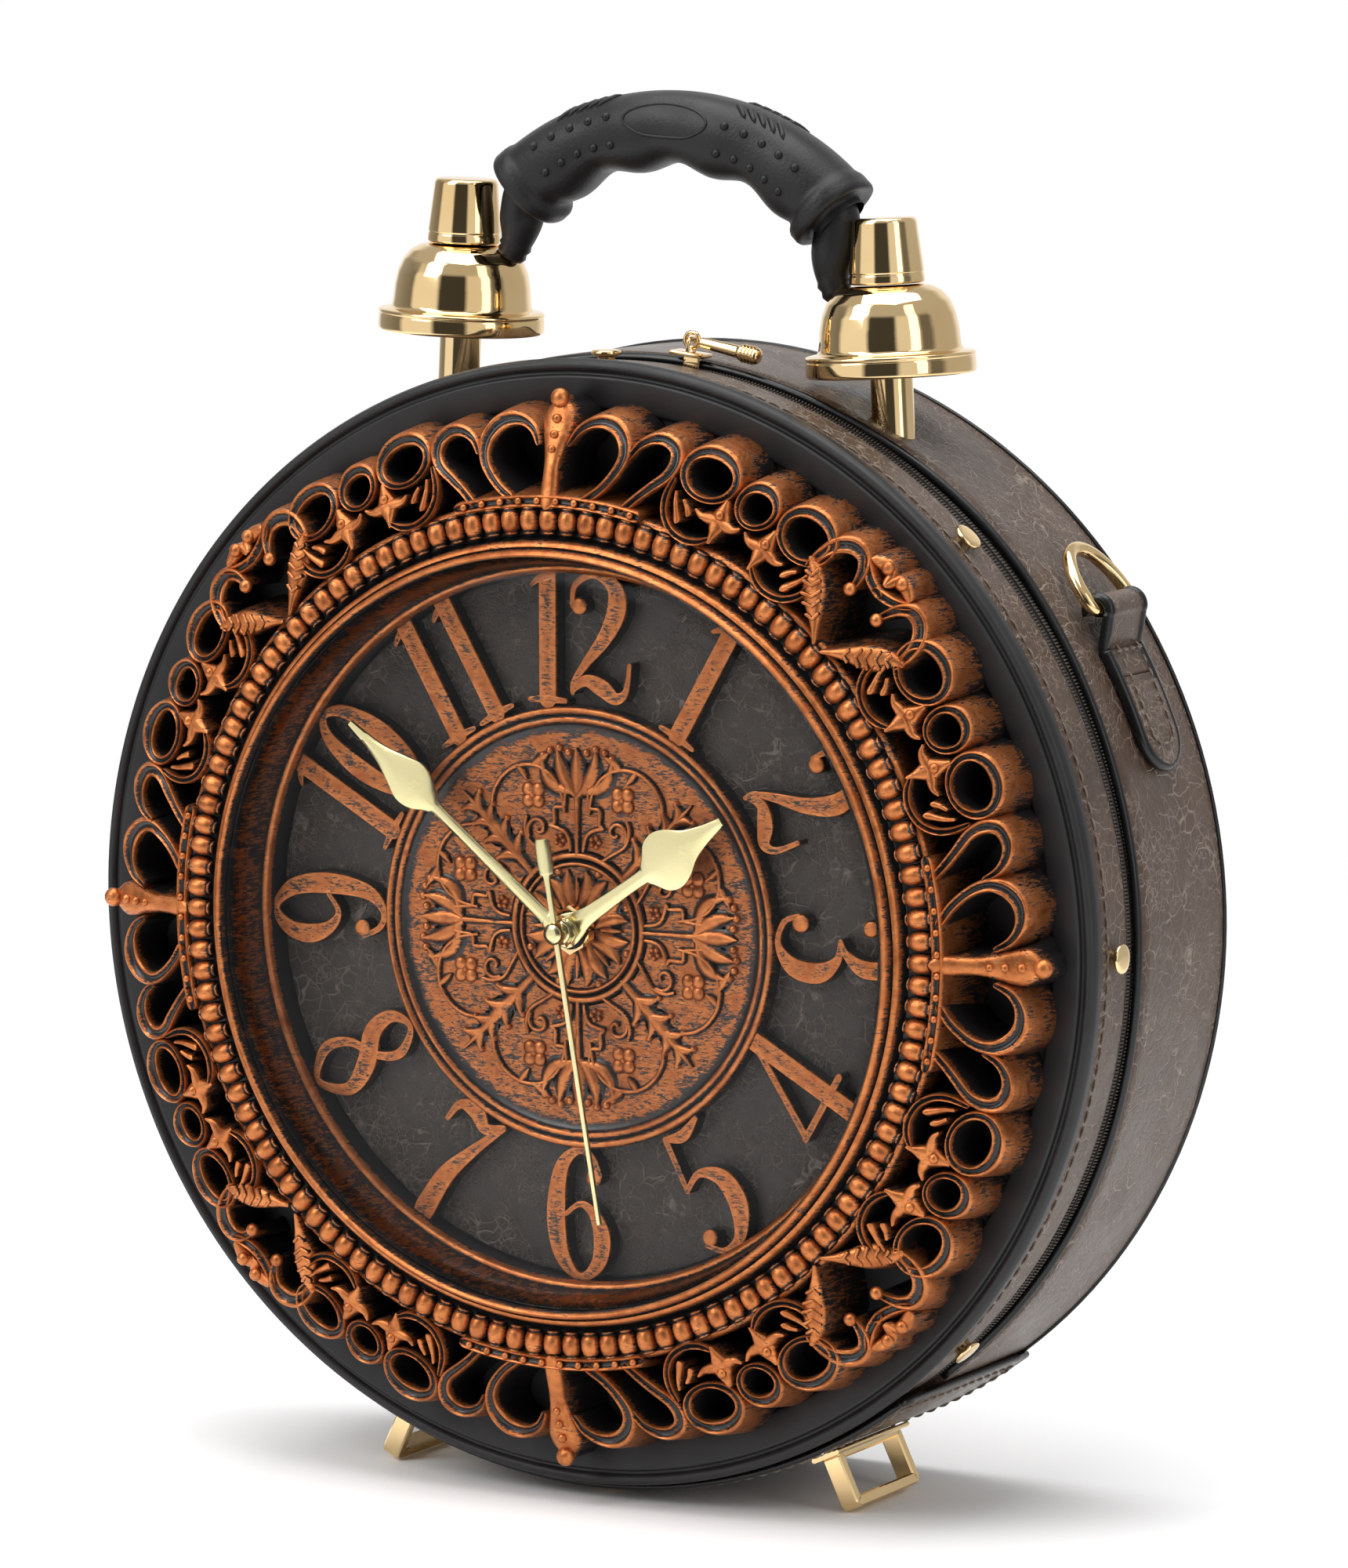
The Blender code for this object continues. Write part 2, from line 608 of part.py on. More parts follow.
def make_dial(leather, copper):
    hub_hole = HUB_R + GAP
    add("dial_leather", tube(hub_hole, DIAL_R, *DIAL_Y, MIDDLE), leather)
    low, high = NUMERAL_R
    gate = 0.0018
    holes = []
    for hour in range(12):
        start, end = 30.0 * hour + 5.0, 30.0 * hour + 25.0
        holes.append(arc(high - gate, start, end, 4) + arc(low + gate, end, start, 3))
    add("numeral_ring", plate([circle(high, LARGE), circle(low, MIDDLE)] + holes, *NUMERAL_Y), copper)
    back = NUMERAL_Y[1]
    medal = [(hub_hole, back), (hub_hole, -0.0040), (0.0090, -0.0042), (0.0160, -0.0034), (0.0420, -0.0030),
             (0.0440, -0.0043), (0.0455, -0.0036), (0.0464, -0.0043), (MEDALLION_R, -0.0034),
             (MEDALLION_R, back)]
    add("medallion", turned(medal, MIDDLE), copper)


def make_lens(clear):
    add("lens", cylinder(LENS_R, *LENS_Y, LARGE), clear)


# ---- hands and movement -------------------------------------------------------------------
def hand_outline(length, width, collar, neck):
    """(across, along) outline of a spade hand, clockwise from the right of its round collar."""
    shoulder = length * 0.55
    half = [(neck * 0.5, shoulder), (width * 0.36, shoulder + width * 0.18),
            (width * 0.5, shoulder + width * 0.60), (width * 0.36, shoulder + width * 1.05),
            (width * 0.13, length * 0.86), (0.0003, length)]
    return arc(collar, 25.0, 335.0, 14) + [(-x, z) for x, z in half] + half[::-1]


def make_hands(gold):
    half = 0.5 * HAND_THICK
    hour = plate([hand_outline(0.0452, 0.0130, 0.0046, 0.0030), circle(HOUR_PIPE[1] + GAP, 14)],
                 HOUR_Y - half, HOUR_Y + half)
    add("hour_hand", hour, gold, rotation=(0.0, math.radians(HOUR_ANGLE), 0.0))
    minute = plate([hand_outline(0.0660, 0.0100, 0.0036, 0.0024), circle(MINUTE_PIPE[1] + GAP, 12)],
                   MINUTE_Y - half, MINUTE_Y + half)
    add("minute_hand", minute, gold, rotation=(0.0, math.radians(MINUTE_ANGLE), 0.0))
    turn = (0.0, math.radians(SECOND_ANGLE), 0.0)
    tail = 0.0200
    paddle = [(0.0005, 0.0620), (0.0006, 0.0), (0.0006, -0.0110), (0.0017, -0.0130), (0.0017, -tail + 0.0010),
              (0.0009, -tail)]
    second = add("second_hand", plate([paddle + [(-x, z) for x, z in reversed(paddle)]],
                                      SECOND_Y - half, SECOND_Y + half), gold, rotation=turn)
    boss = [(0.0, SECOND_Y), (0.0024, SECOND_Y), (0.0024, SECOND_Y - 0.0010), (0.0016, SECOND_Y - 0.0018),
            (0.0, SECOND_Y - 0.0020)]
    join(second, "second_boss", turned(boss, 16), rotation=turn)


def wheel_centres():
    """(x, z) of each wheel's axis off the dial's centre."""
    motion = Vector((MOTION_A * math.cos(math.radians(150.0)), MOTION_A * math.sin(math.radians(150.0))))
    third = Vector((TRAIN_A * math.cos(math.radians(30.0)), TRAIN_A * math.sin(math.radians(30.0))))
    intermediate = Vector((0.0, SECONDS_A))
    rotor = intermediate + ROTOR_A * Vector((0.5, math.sqrt(0.75)))
    setting = motion + SETTING_A * Vector((-math.sqrt(0.75), 0.5))
    return {"motion": motion, "third": third, "intermediate": intermediate, "rotor": rotor, "setting": setting}


def mesh_radii(distance, small, large):
    """Radii of a meshing pair of plain discs with these tooth counts."""
    share = distance / (small + large)
    return share * small - TOOTH, share * large - TOOTH


def make_train(plastic, metal):
    """Wheels as plain discs at their true ratios, back from the motion work to the rotor."""
    cannon, motion_wheel = mesh_radii(MOTION_A, 12, 36)
    motion_pinion, hour_wheel = mesh_radii(MOTION_A, 10, 40)
    seconds_pinion, third_wheel = mesh_radii(TRAIN_A, 8, 60)
    third_pinion, minute_wheel = mesh_radii(TRAIN_A, 8, 64)
    intermediate_pinion, seconds_wheel = mesh_radii(SECONDS_A, 8, 40)
    rotor_pinion, intermediate_wheel = mesh_radii(ROTOR_A, 6, 36)
    setting_gear = SETTING_A * 24 / 60 - TOOTH
    bore, pipe = HOUR_PIPE
    front = HOUR_Y - 0.0006
    add("hour_wheel", turned([(bore, front), (pipe, front), (pipe, 0.0040), (hour_wheel, 0.0040),
                              (hour_wheel, 0.0048), (bore, 0.0048)], 24), plastic)
    bore, pipe = MINUTE_PIPE
    front = MINUTE_Y - 0.0006
    add("minute_arbor", turned([(bore, front), (pipe, front), (pipe, 0.0051), (cannon, 0.0051),
                                (cannon, 0.0064), (minute_wheel, 0.0064), (minute_wheel, 0.0072),
                                (bore, 0.0072)], 24), plastic)
    tip = SECOND_Y + 0.5 * HAND_THICK + GAP
    add("seconds_arbor", turned([(0.0, tip), (ARBOR_R, tip), (ARBOR_R, 0.0078), (seconds_pinion, 0.0078),
                                 (seconds_pinion, 0.0094), (seconds_wheel, 0.0094), (seconds_wheel, 0.0102),
                                 (0.0, 0.0102)], 24), plastic)
    centres = wheel_centres()
    stacks = {
        "motion_wheel": ("motion", motion_pinion, motion_wheel, 0.0040, 0.0051, 0.0059, plastic),
        "third_wheel": ("third", third_pinion, third_wheel, 0.0064, 0.0078, 0.0086, plastic),
        "intermediate_wheel": ("intermediate", intermediate_pinion, intermediate_wheel,
                               0.0094, 0.0110, 0.0118, plastic),
        "rotor": ("rotor", rotor_pinion, 0.0030, 0.0110, 0.0124, 0.0144, metal),
    }
    for name, (place, pinion, wheel, front, step, back, finish) in stacks.items():
        x, z = centres[place]
        add(name, turned([(0.0, front), (pinion, front), (pinion, step), (wheel, step), (wheel, back),
                          (0.0, back)], 22), finish, (x, 0.0, z))
    x, z = centres["setting"]
    knob_front = CASE_Y[1] + 0.0006
    stem = 0.0008
    add("setting_knob", turned([(0.0, 0.0051), (setting_gear, 0.0051), (setting_gear, 0.0059), (stem, 0.0059),
                                (stem, knob_front), (0.0050, knob_front), (0.0050, knob_front + 0.0020),
                                (0.0, knob_front + 0.0020)], 24), plastic, (x, 0.0, z))


def make_movement(black, copper_wire, metal):
    """Case open at the back, its cover, the coil, the battery and the nut that clamps the dial."""
    half = CASE_HALF
    inside = half - CASE_WALL
    floor_y = CASE_Y[0] + CASE_WALL
    open_y = CASE_Y[1] + 0.001
    case = add("movement_case", block((-half, half), CASE_Y, (-half, half)), black)
    join(case, "bush", cylinder(HUB_R, BUSH_FRONT, floor_y, 24))
    cut(case, "bush_bore", cylinder(HUB_BORE, BUSH_FRONT - 0.001, floor_y + 0.001, 20))
    cut(case, "gear_pocket", block((-inside, inside), (floor_y, open_y), (GEAR_FLOOR_Z, inside)))
    reach = BATTERY_HALF + GAP
    across = BATTERY_R + GAP
    cut(case, "battery_pocket", block((-reach, reach), (floor_y, open_y),
                                      (BATTERY_Z - across, BATTERY_Z + across)))
    knob = wheel_centres()["setting"]
    edge = inside - GAP
    cover = rectangle(-edge, edge, GEAR_FLOOR_Z + GAP, edge)
    add("movement_cover", plate([cover, circle(0.0012, 12, knob)], CASE_Y[1] - 0.0014, CASE_Y[1]), black)
    add("hub_nut", hex_nut(HUB_R + GAP, 0.0053, BUSH_FRONT + GAP, -0.0046), metal)
    wire = cylinder(0.0036, -0.011, 0.011, 18, "Z")
    add("coil", wire, copper_wire, (0.0090, 0.0100, 0.0216), (0.0, 0.5 * math.pi, 0.0))
    nub = 0.0011
    cell = [(0.0, -BATTERY_HALF), (BATTERY_R, -BATTERY_HALF), (BATTERY_R, BATTERY_HALF - nub),
            (0.0027, BATTERY_HALF - nub), (0.0027, BATTERY_HALF), (0.0, BATTERY_HALF)]
    add("battery", turned(cell, 22, "Z"), metal, (0.0, BATTERY_Y, BATTERY_Z), (0.0, 0.5 * math.pi, 0.0))


# ---- assembly -----------------------------------------------------------------------------
def main():
    clear_scene()
    centre = bpy.data.objects.new("clock_centre", None)
    bpy.context.scene.collection.objects.link(centre)
    centre.location = (0.0, CENTRE_Y, CENTRE_HEIGHT)

    leather = material("brown_leather", (0.16, 0.12, 0.095), 0.50, 0.0)
    trim = material("black_trim", (0.012, 0.012, 0.012), 0.45, 0.0)
    cloth = material("black_cloth", (0.02, 0.02, 0.02), 0.90, 0.0)
    tape = material("brown_zip", (0.10, 0.08, 0.06), 0.60, 0.0)
    gold = material("polished_gold", (0.83, 0.62, 0.28), 0.14, 1.0)
    pale_gold = material("pale_gold", (0.85, 0.72, 0.42), 0.18, 1.0)
    copper = material("antique_copper", (0.48, 0.28, 0.18), 0.38, 0.9)
    black = material("black_plastic", (0.015, 0.015, 0.015), 0.40, 0.0)
    board = material("door_board", (0.03, 0.03, 0.03), 0.70, 0.0)
    rubber = material("black_rubber", (0.02, 0.02, 0.02), 0.60, 0.0)
    clear = material("clear_plastic", (0.92, 0.95, 0.96), 0.05, 0.0)
    gears = material("gear_plastic", (0.80, 0.80, 0.76), 0.40, 0.0)
    steel = material("steel", (0.62, 0.63, 0.65), 0.25, 1.0)
    winding = material("copper_winding", (0.55, 0.24, 0.10), 0.35, 0.8)

    make_shell(leather, cloth, trim)
    make_base(leather, gold)
    make_zip(tape)
    make_slider(gold)
    make_door_frame(black, leather, board)
    make_rivets(gold)
    make_ornament(copper)
    make_bezel(copper)
    make_dial(leather, copper)
    make_lens(clear)
    make_hands(pale_gold)
    make_train(gears, steel)
    make_movement(black, winding, steel)
    make_handle(rubber)
    make_grip(rubber)
    for side, label in SIDES.items():
        make_bell(side, label, gold)
        make_ring(side, label, gold)
        make_tab(side, label, leather)


main()
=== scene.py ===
"""Looks of the clock handbag: leather, copper filigree, dial, bells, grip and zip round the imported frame.

Shapes are drawn in millimetres from the clock's centre (x right, y back, z up; y is 0 at the rim's front)
and clock angles run clockwise from twelve in degrees. put() moves them into the frame.
"""

import math

import bmesh
import bpy
from mathutils import Matrix, Vector, noise
from mathutils.geometry import interpolate_bezier


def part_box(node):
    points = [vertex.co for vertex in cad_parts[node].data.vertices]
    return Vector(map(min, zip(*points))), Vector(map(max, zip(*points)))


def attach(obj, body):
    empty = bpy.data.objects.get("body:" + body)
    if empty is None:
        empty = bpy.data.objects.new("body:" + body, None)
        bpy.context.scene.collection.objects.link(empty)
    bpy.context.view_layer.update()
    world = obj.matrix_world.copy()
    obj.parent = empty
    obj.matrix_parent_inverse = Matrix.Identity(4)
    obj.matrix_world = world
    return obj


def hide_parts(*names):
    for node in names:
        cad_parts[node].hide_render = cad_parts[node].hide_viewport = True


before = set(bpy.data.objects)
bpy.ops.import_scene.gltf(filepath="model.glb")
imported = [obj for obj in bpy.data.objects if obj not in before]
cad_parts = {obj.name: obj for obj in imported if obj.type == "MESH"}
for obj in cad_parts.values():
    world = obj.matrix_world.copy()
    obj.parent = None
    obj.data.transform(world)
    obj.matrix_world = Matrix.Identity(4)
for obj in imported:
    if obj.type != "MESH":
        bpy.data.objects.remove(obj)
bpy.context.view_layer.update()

MM = 0.001
RIM_LOW, RIM_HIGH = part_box("door_rim")
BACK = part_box("back_panel")[1][1]
BACK_Y = 63.0
CENTRE = Vector((0.0, BACK - BACK_Y * MM, 0.5 * (RIM_LOW[2] + RIM_HIGH[2])))
PLACE = Matrix.Translation(CENTRE) @ Matrix.Scale(MM, 4)
FINE = 240                       # sides of the large turned pieces


# ---- node helpers ---------------------------------------------------------------------------
class Nodes:
    """A material's node tree, built by short calls. Places are in metres, in the frame."""

    def __init__(self, name):
        self.material = bpy.data.materials.new(name)
        self.material.use_nodes = True
        self.tree = self.material.node_tree
        self.shader = self.tree.nodes["Principled BSDF"]
        self.place = self.node("TexCoord").outputs["Object"]

    def node(self, kind, **values):
        made = self.tree.nodes.new("ShaderNode" + kind)
        for key, value in values.items():
            setattr(made, key, value)
        return made

    def feed(self, socket, value):
        if isinstance(value, bpy.types.NodeSocket):
            self.tree.links.new(value, socket)
        else:
            socket.default_value = value

    def stretch(self, scale, rotation=(0.0, 0.0, 0.0)):
        mapping = self.node("Mapping")
        self.feed(mapping.inputs["Vector"], self.place)
        mapping.inputs["Scale"].default_value = scale
        mapping.inputs["Rotation"].default_value = rotation
        return mapping.outputs["Vector"]

    def noise(self, scale, detail=4.0, rough=0.55, warp=0.0, place=None):
        made = self.node("TexNoise")
        self.feed(made.inputs["Vector"], place or self.place)
        made.inputs["Scale"].default_value = scale
        made.inputs["Detail"].default_value = detail
        made.inputs["Roughness"].default_value = rough
        made.inputs["Distortion"].default_value = warp
        return made.outputs["Fac"]

    def cracks(self, scale, place):
        made = self.node("TexVoronoi", feature="DISTANCE_TO_EDGE")
        self.feed(made.inputs["Vector"], place)
        made.inputs["Scale"].default_value = scale
        return made.outputs["Distance"]

    def math(self, operation, a, b=0.0):
        made = self.node("Math", operation=operation)
        self.feed(made.inputs[0], a)
        self.feed(made.inputs[1], b)
        return made.outputs[0]

    def ramp(self, value, *stops):
        made = self.node("ValToRGB")
        self.feed(made.inputs["Fac"], value)
        elements = made.color_ramp.elements
        while len(elements) < len(stops):
            elements.new(0.5)
        for element, (position, colour) in zip(elements, stops):
            element.position = position
            element.color = (*colour, 1.0) if isinstance(colour, tuple) else (colour, colour, colour, 1.0)
        return made.outputs["Color"]

    def mix(self, factor, a, b):
        made = self.node("MixRGB")
        self.feed(made.inputs["Fac"], factor)
        self.feed(made.inputs["Color1"], a)
        self.feed(made.inputs["Color2"], b)
        return made.outputs["Color"]

    def warped(self, scale, amount):
        """The place, pushed about by a colour noise."""
        made = self.node("TexNoise")
        self.feed(made.inputs["Vector"], self.place)
        made.inputs["Scale"].default_value = scale
        made.inputs["Detail"].default_value = 3.0
        away = self.node("VectorMath", operation="SCALE")
        self.feed(away.inputs[0], made.outputs["Color"])
        away.inputs["Scale"].default_value = amount
        moved = self.node("VectorMath", operation="ADD")
        self.feed(moved.inputs[0], self.place)
        self.feed(moved.inputs[1], away.outputs[0])
        return moved.outputs[0]

    def bump(self, height, strength, distance, below=None):
        made = self.node("Bump")
        self.feed(made.inputs["Height"], height)
        made.inputs["Strength"].default_value = strength
        made.inputs["Distance"].default_value = distance
        if below:
            self.feed(made.inputs["Normal"], below)
        return made.outputs["Normal"]

    def finish(self, colour, rough, metallic=0.0, normal=None, **fixed):
        self.feed(self.shader.inputs["Base Color"], colour)
        self.feed(self.shader.inputs["Roughness"], rough)
        self.shader.inputs["Metallic"].default_value = metallic
        if normal:
            self.feed(self.shader.inputs["Normal"], normal)
        for key, value in fixed.items():
            self.shader.inputs[key.replace("_", " ").title()].default_value = value
        return self.material


class WorldNodes(Nodes):
    """The world's node tree, built by the same calls; places are directions."""

    def __init__(self, world):
        world.use_nodes = True
        self.tree = world.node_tree
        self.place = self.node("TexCoord").outputs["Generated"]


# ---- materials ------------------------------------------------------------------------------
def leather(name, dark, light, fold_highlight, scale=1.0):
    """Crackled leather: mottled colour, fine folds in the bump whose lines carry a painted pale highlight
    colour where they catch the light, and a pebbled grain.
    """
    n = Nodes(name)
    folds = n.cracks(210.0 * scale, n.warped(70.0 * scale, 0.012 / scale))
    fine = n.cracks(520.0 * scale, n.warped(190.0 * scale, 0.0045 / scale))
    mottle = n.noise(28.0 * scale, 6.0, 0.65)
    gaps = n.noise(60.0 * scale, 4.0, 0.6)
    other_gaps = n.noise(90.0 * scale, 4.0, 0.6, 0.5)
    fold_lines = n.math("MULTIPLY", n.ramp(folds, (0.0, 1.0), (0.050, 0.0)),
                        n.ramp(gaps, (0.44, 0.0), (0.56, 1.0)))
    fine_lines = n.math("MULTIPLY", n.ramp(fine, (0.0, 1.0), (0.075, 0.0)),
                        n.ramp(other_gaps, (0.42, 0.0), (0.56, 0.8)))
    lines = n.math("MAXIMUM", fold_lines, fine_lines)
    base = n.mix(n.ramp(n.noise(420.0 * scale, 3.0, 0.6), (0.35, 0.0), (0.7, 0.5)),
                 n.ramp(mottle, (0.30, dark), (0.72, light)), (*light, 1.0))
    # painted highlight: the crease lines are mixed towards a pale colour that stands for the light caught in
    # the folds
    colour = n.mix(n.math("MULTIPLY", lines, 0.60), base, (*fold_highlight, 1.0))
    grain = n.noise(1500.0 * scale, 2.0, 0.5)
    rough = n.ramp(n.noise(60.0 * scale, 4.0), (0.3, 0.28), (0.75, 0.46))
    height = n.math("SUBTRACT", n.math("MULTIPLY", grain, 0.35), n.math("MULTIPLY", lines, 1.0))
    normal = n.bump(height, 0.65, 0.00040, n.bump(n.noise(230.0 * scale, 5.0, 0.65, 1.2), 0.50, 0.0006))
    n.shader.inputs["Specular IOR Level"].default_value = 0.36
    return n.finish(colour, rough, 0.0, normal)


def antique(name, bright, deep):
    """Copper rubbed over black moulding; the mesh's patina says where the copper stays."""
    n = Nodes(name)
    worn = n.node("Attribute", attribute_name="patina").outputs["Fac"]
    streaks = n.noise(620.0, 6.0, 0.75, 0.8, n.stretch((1.0, 0.5, 4.0), (0.0, 0.6, 0.0)))
    patches = n.noise(210.0, 5.0, 0.65, 0.8)
    scuff = n.math("ADD", n.math("MULTIPLY", streaks, 2.4), n.math("MULTIPLY", patches, 1.3))
    kept = n.math("SUBTRACT", n.math("ADD", worn, 1.44), scuff)
    cover = n.ramp(kept, (0.12, 0.0), (0.34, 1.0))
    copper = n.ramp(patches, (0.30, deep), (0.66, bright))
    colour = n.mix(cover, (0.010, 0.009, 0.009, 1.0), copper)
    rough = n.mix(cover, (0.30, 0.30, 0.30, 1.0), n.ramp(streaks, (0.3, 0.30), (0.8, 0.50)))
    n.feed(n.shader.inputs["Metallic"], n.math("MULTIPLY", cover, 0.86))
    normal = n.bump(n.math("ADD", n.math("MULTIPLY", cover, 0.6), n.noise(600.0, 4.0, 0.6)), 0.30, 0.0003)
    n.feed(n.shader.inputs["Base Color"], colour)
    n.feed(n.shader.inputs["Roughness"], rough)
    n.feed(n.shader.inputs["Normal"], normal)
    return n.material


def plated(name, colour, shade, rough):
    """Polished plating, a little uneven, with faint hairlines."""
    n = Nodes(name)
    tone = n.ramp(n.noise(40.0, 3.0), (0.3, shade), (0.7, colour))
    hair = n.noise(700.0, 3.0, 0.6, 0.0, n.stretch((1.0, 1.0, 0.12)))
    roughness = n.ramp(n.noise(130.0, 4.0), (0.3, rough * 0.7), (0.8, rough * 1.6))
    return n.finish(tone, roughness, 1.0, n.bump(hair, 0.05, 0.0001))


def moulded(name, low, high, rough, grain=900.0, strength=0.12, specular=0.5):
    """Moulded plastic or rubber with a fine stipple and slightly uneven sheen."""
    n = Nodes(name)
    tone = n.ramp(n.noise(70.0, 4.0), (0.3, low), (0.75, high))
    sheen = n.ramp(n.noise(95.0, 4.0), (0.3, rough - 0.06), (0.75, rough + 0.08))
    normal = n.bump(n.noise(grain, 3.0), strength, 0.0002)
    n.shader.inputs["Specular IOR Level"].default_value = specular
    return n.finish(tone, sheen, 0.0, normal)


def cloth(name, low, high, pitch):
    """Plain weave in threads of the given pitch, in metres."""
    n = Nodes(name)
    waves = []
    for turn in (0.0, 0.5 * math.pi):
        wave = n.node("TexWave", wave_type="BANDS", bands_direction="DIAGONAL")
        n.feed(wave.inputs["Vector"], n.stretch((1.0, 1.0, 1.0), (0.0, turn, 0.0)))
        wave.inputs["Scale"].default_value = 0.16 / pitch
        wave.inputs["Distortion"].default_value = 0.4
        waves.append(wave.outputs["Fac"])
    weave = n.math("MULTIPLY", waves[0], waves[1])
    tone = n.mix(n.noise(60.0), (*low, 1.0), (*high, 1.0))
    colour = n.mix(n.ramp(weave, (0.0, 0.0), (0.8, 1.0)), (*low, 1.0), tone)
    return n.finish(colour, 0.85, 0.0, n.bump(weave, 0.5, 0.0002), sheen_weight=0.2)


def clear_lens(name):
    """Thin clear sheet: what isn't reflected passes straight through."""
    n = Nodes(name)
    through = n.node("BsdfTransparent")
    mixer = n.node("MixShader")
    edge = n.node("Fresnel")
    edge.inputs["IOR"].default_value = 1.14
    smear = n.ramp(n.noise(30.0, 4.0), (0.3, 0.02), (0.8, 0.06))
    n.finish((0.96, 0.98, 1.0, 1.0), smear, 1.0, n.bump(n.noise(25.0, 2.0), 0.02, 0.0004))
    output = n.tree.nodes["Material Output"]
    n.feed(mixer.inputs[0], edge.outputs[0])
    n.feed(mixer.inputs[1], through.outputs[0])
    n.feed(mixer.inputs[2], n.shader.outputs[0])
    n.feed(output.inputs["Surface"], mixer.outputs[0])
    return n.material


def thread(name, colour):
    """Twisted sewing thread."""
    n = Nodes(name)
    twist = n.node("TexWave", bands_direction="DIAGONAL")
    n.feed(twist.inputs["Vector"], n.place)
    twist.inputs["Scale"].default_value = 900.0
    shade = tuple(0.55 * value for value in colour)
    tone = n.ramp(n.noise(400.0, 3.0), (0.3, shade), (0.7, colour))
    return n.finish(tone, 0.7, 0.0, n.bump(twist.outputs["Fac"], 0.5, 0.0001))


def grey(level):
    return level, level, level


def make_materials():
    return {
        # the third colour of each leather is a painted highlight for its crease lines
        "leather": leather("brown_leather", (0.046, 0.027, 0.018), (0.098, 0.062, 0.042), (0.38, 0.30, 0.24)),
        "dial": leather("dial_leather", (0.013, 0.009, 0.007), (0.034, 0.026, 0.021), (0.25, 0.21, 0.18),
                        1.15),
        "copper": antique("antique_copper", (0.68, 0.235, 0.072), (0.29, 0.082, 0.024)),
        "gold": plated("polished_gold", (0.88, 0.66, 0.36), (0.80, 0.56, 0.27), 0.06),
        "pale": plated("pale_gold", (0.80, 0.72, 0.40), (0.70, 0.62, 0.32), 0.22),
        "steel": plated("bright_steel", (0.66, 0.67, 0.69), (0.52, 0.53, 0.55), 0.22),
        "black": moulded("black_moulding", (0.012, 0.012, 0.013), (0.020, 0.020, 0.021), 0.46,
                         grain=900.0, strength=0.15, specular=0.34),
        "rubber": moulded("black_rubber", (0.007, 0.007, 0.008), (0.014, 0.014, 0.015), 0.44,
                          grain=1400.0, strength=0.4, specular=0.32),
        "edge": moulded("edge_paint", grey(0.004), grey(0.008), 0.28, 500.0, 0.2, 0.4),
        "board": moulded("door_board", (0.020, 0.019, 0.018), (0.034, 0.032, 0.030), 0.60, 700.0, 0.3),
        "gears": moulded("gear_plastic", (0.62, 0.61, 0.56), (0.78, 0.77, 0.72), 0.36, 500.0, 0.1),
        "winding": moulded("coil_lacquer", (0.26, 0.08, 0.03), (0.55, 0.20, 0.08), 0.30, 1600.0, 0.6),
        "coil": moulded("zip_coil", (0.030, 0.022, 0.017), (0.075, 0.056, 0.043), 0.40, 1200.0, 0.3),
        "cloth": cloth("lining_cloth", (0.008, 0.008, 0.009), (0.030, 0.029, 0.028), 0.0006),
        "tape": cloth("zip_tape", (0.020, 0.016, 0.013), (0.060, 0.046, 0.037), 0.0004),
        "stitch": thread("brown_thread", (0.22, 0.17, 0.13)),
        "lens": clear_lens("clear_window"),
    }


# ---- mesh helpers ---------------------------------------------------------------------------
def polar(radius, clock, y=0.0):
    """Point at a radius, a clock angle and a depth."""
    angle = math.radians(clock)
    return Vector((radius * math.sin(angle), y, radius * math.cos(angle)))


def put(name, bm, finish, body, stands_for=(), facets=None):
    """Piece from a mesh in millimetres, riding a body; edges sharper than facets degrees stay crisp."""
    bmesh.ops.recalc_face_normals(bm, faces=bm.faces)
    bm.transform(PLACE)
    mesh = bpy.data.meshes.new(name)
    bm.to_mesh(mesh)
    bm.free()
    mesh.materials.append(finish)
    mesh.shade_smooth()
    if facets:
        mesh.set_sharp_from_angle(angle=math.radians(facets))
    made = bpy.data.objects.new(name, mesh)
    bpy.context.scene.collection.objects.link(made)
    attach(made, body)
    if stands_for:
        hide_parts(*([stands_for] if isinstance(stands_for, str) else stands_for))
    return made


def smooth_path(points, steps=6, closed=False):
    """Catmull-Rom through rows of numbers, whatever they hold."""
    count = len(points)
    rows = []
    for i in range(count if closed else count - 1):
        around = []
        for k in (-1, 0, 1, 2):
            index = i + k
            around.append(points[index % count] if closed else points[min(max(index, 0), count - 1)])
        for j in range(steps):
            t = j / steps
            row = []
            for a, b, c, d in zip(*around):
                row.append(0.5 * (2 * b + (c - a) * t + (2 * a - 5 * b + 4 * c - d) * t * t
                                  + (3 * b - a - 3 * c + d) * t * t * t))
            rows.append(row)
    if not closed:
        rows.append(list(points[-1]))
    return rows


def join_rings(bm, rings, loop=True, wrap=False, caps=False):
    """Faces between rings of vertices; corners that meet at a pole are used once."""
    count = len(rings[0])
    for i in range(len(rings) if wrap else len(rings) - 1):
        ring, after = rings[i], rings[(i + 1) % len(rings)]
        for j in range(count if loop else count - 1):
            k = (j + 1) % count
            corners = []
            for vert in (ring[j], ring[k], after[k], after[j]):
                if vert not in corners:
                    corners.append(vert)
            if len(corners) > 2:
                bm.faces.new(corners)
    if caps:
        bm.faces.new(rings[0])
        bm.faces.new(rings[-1])


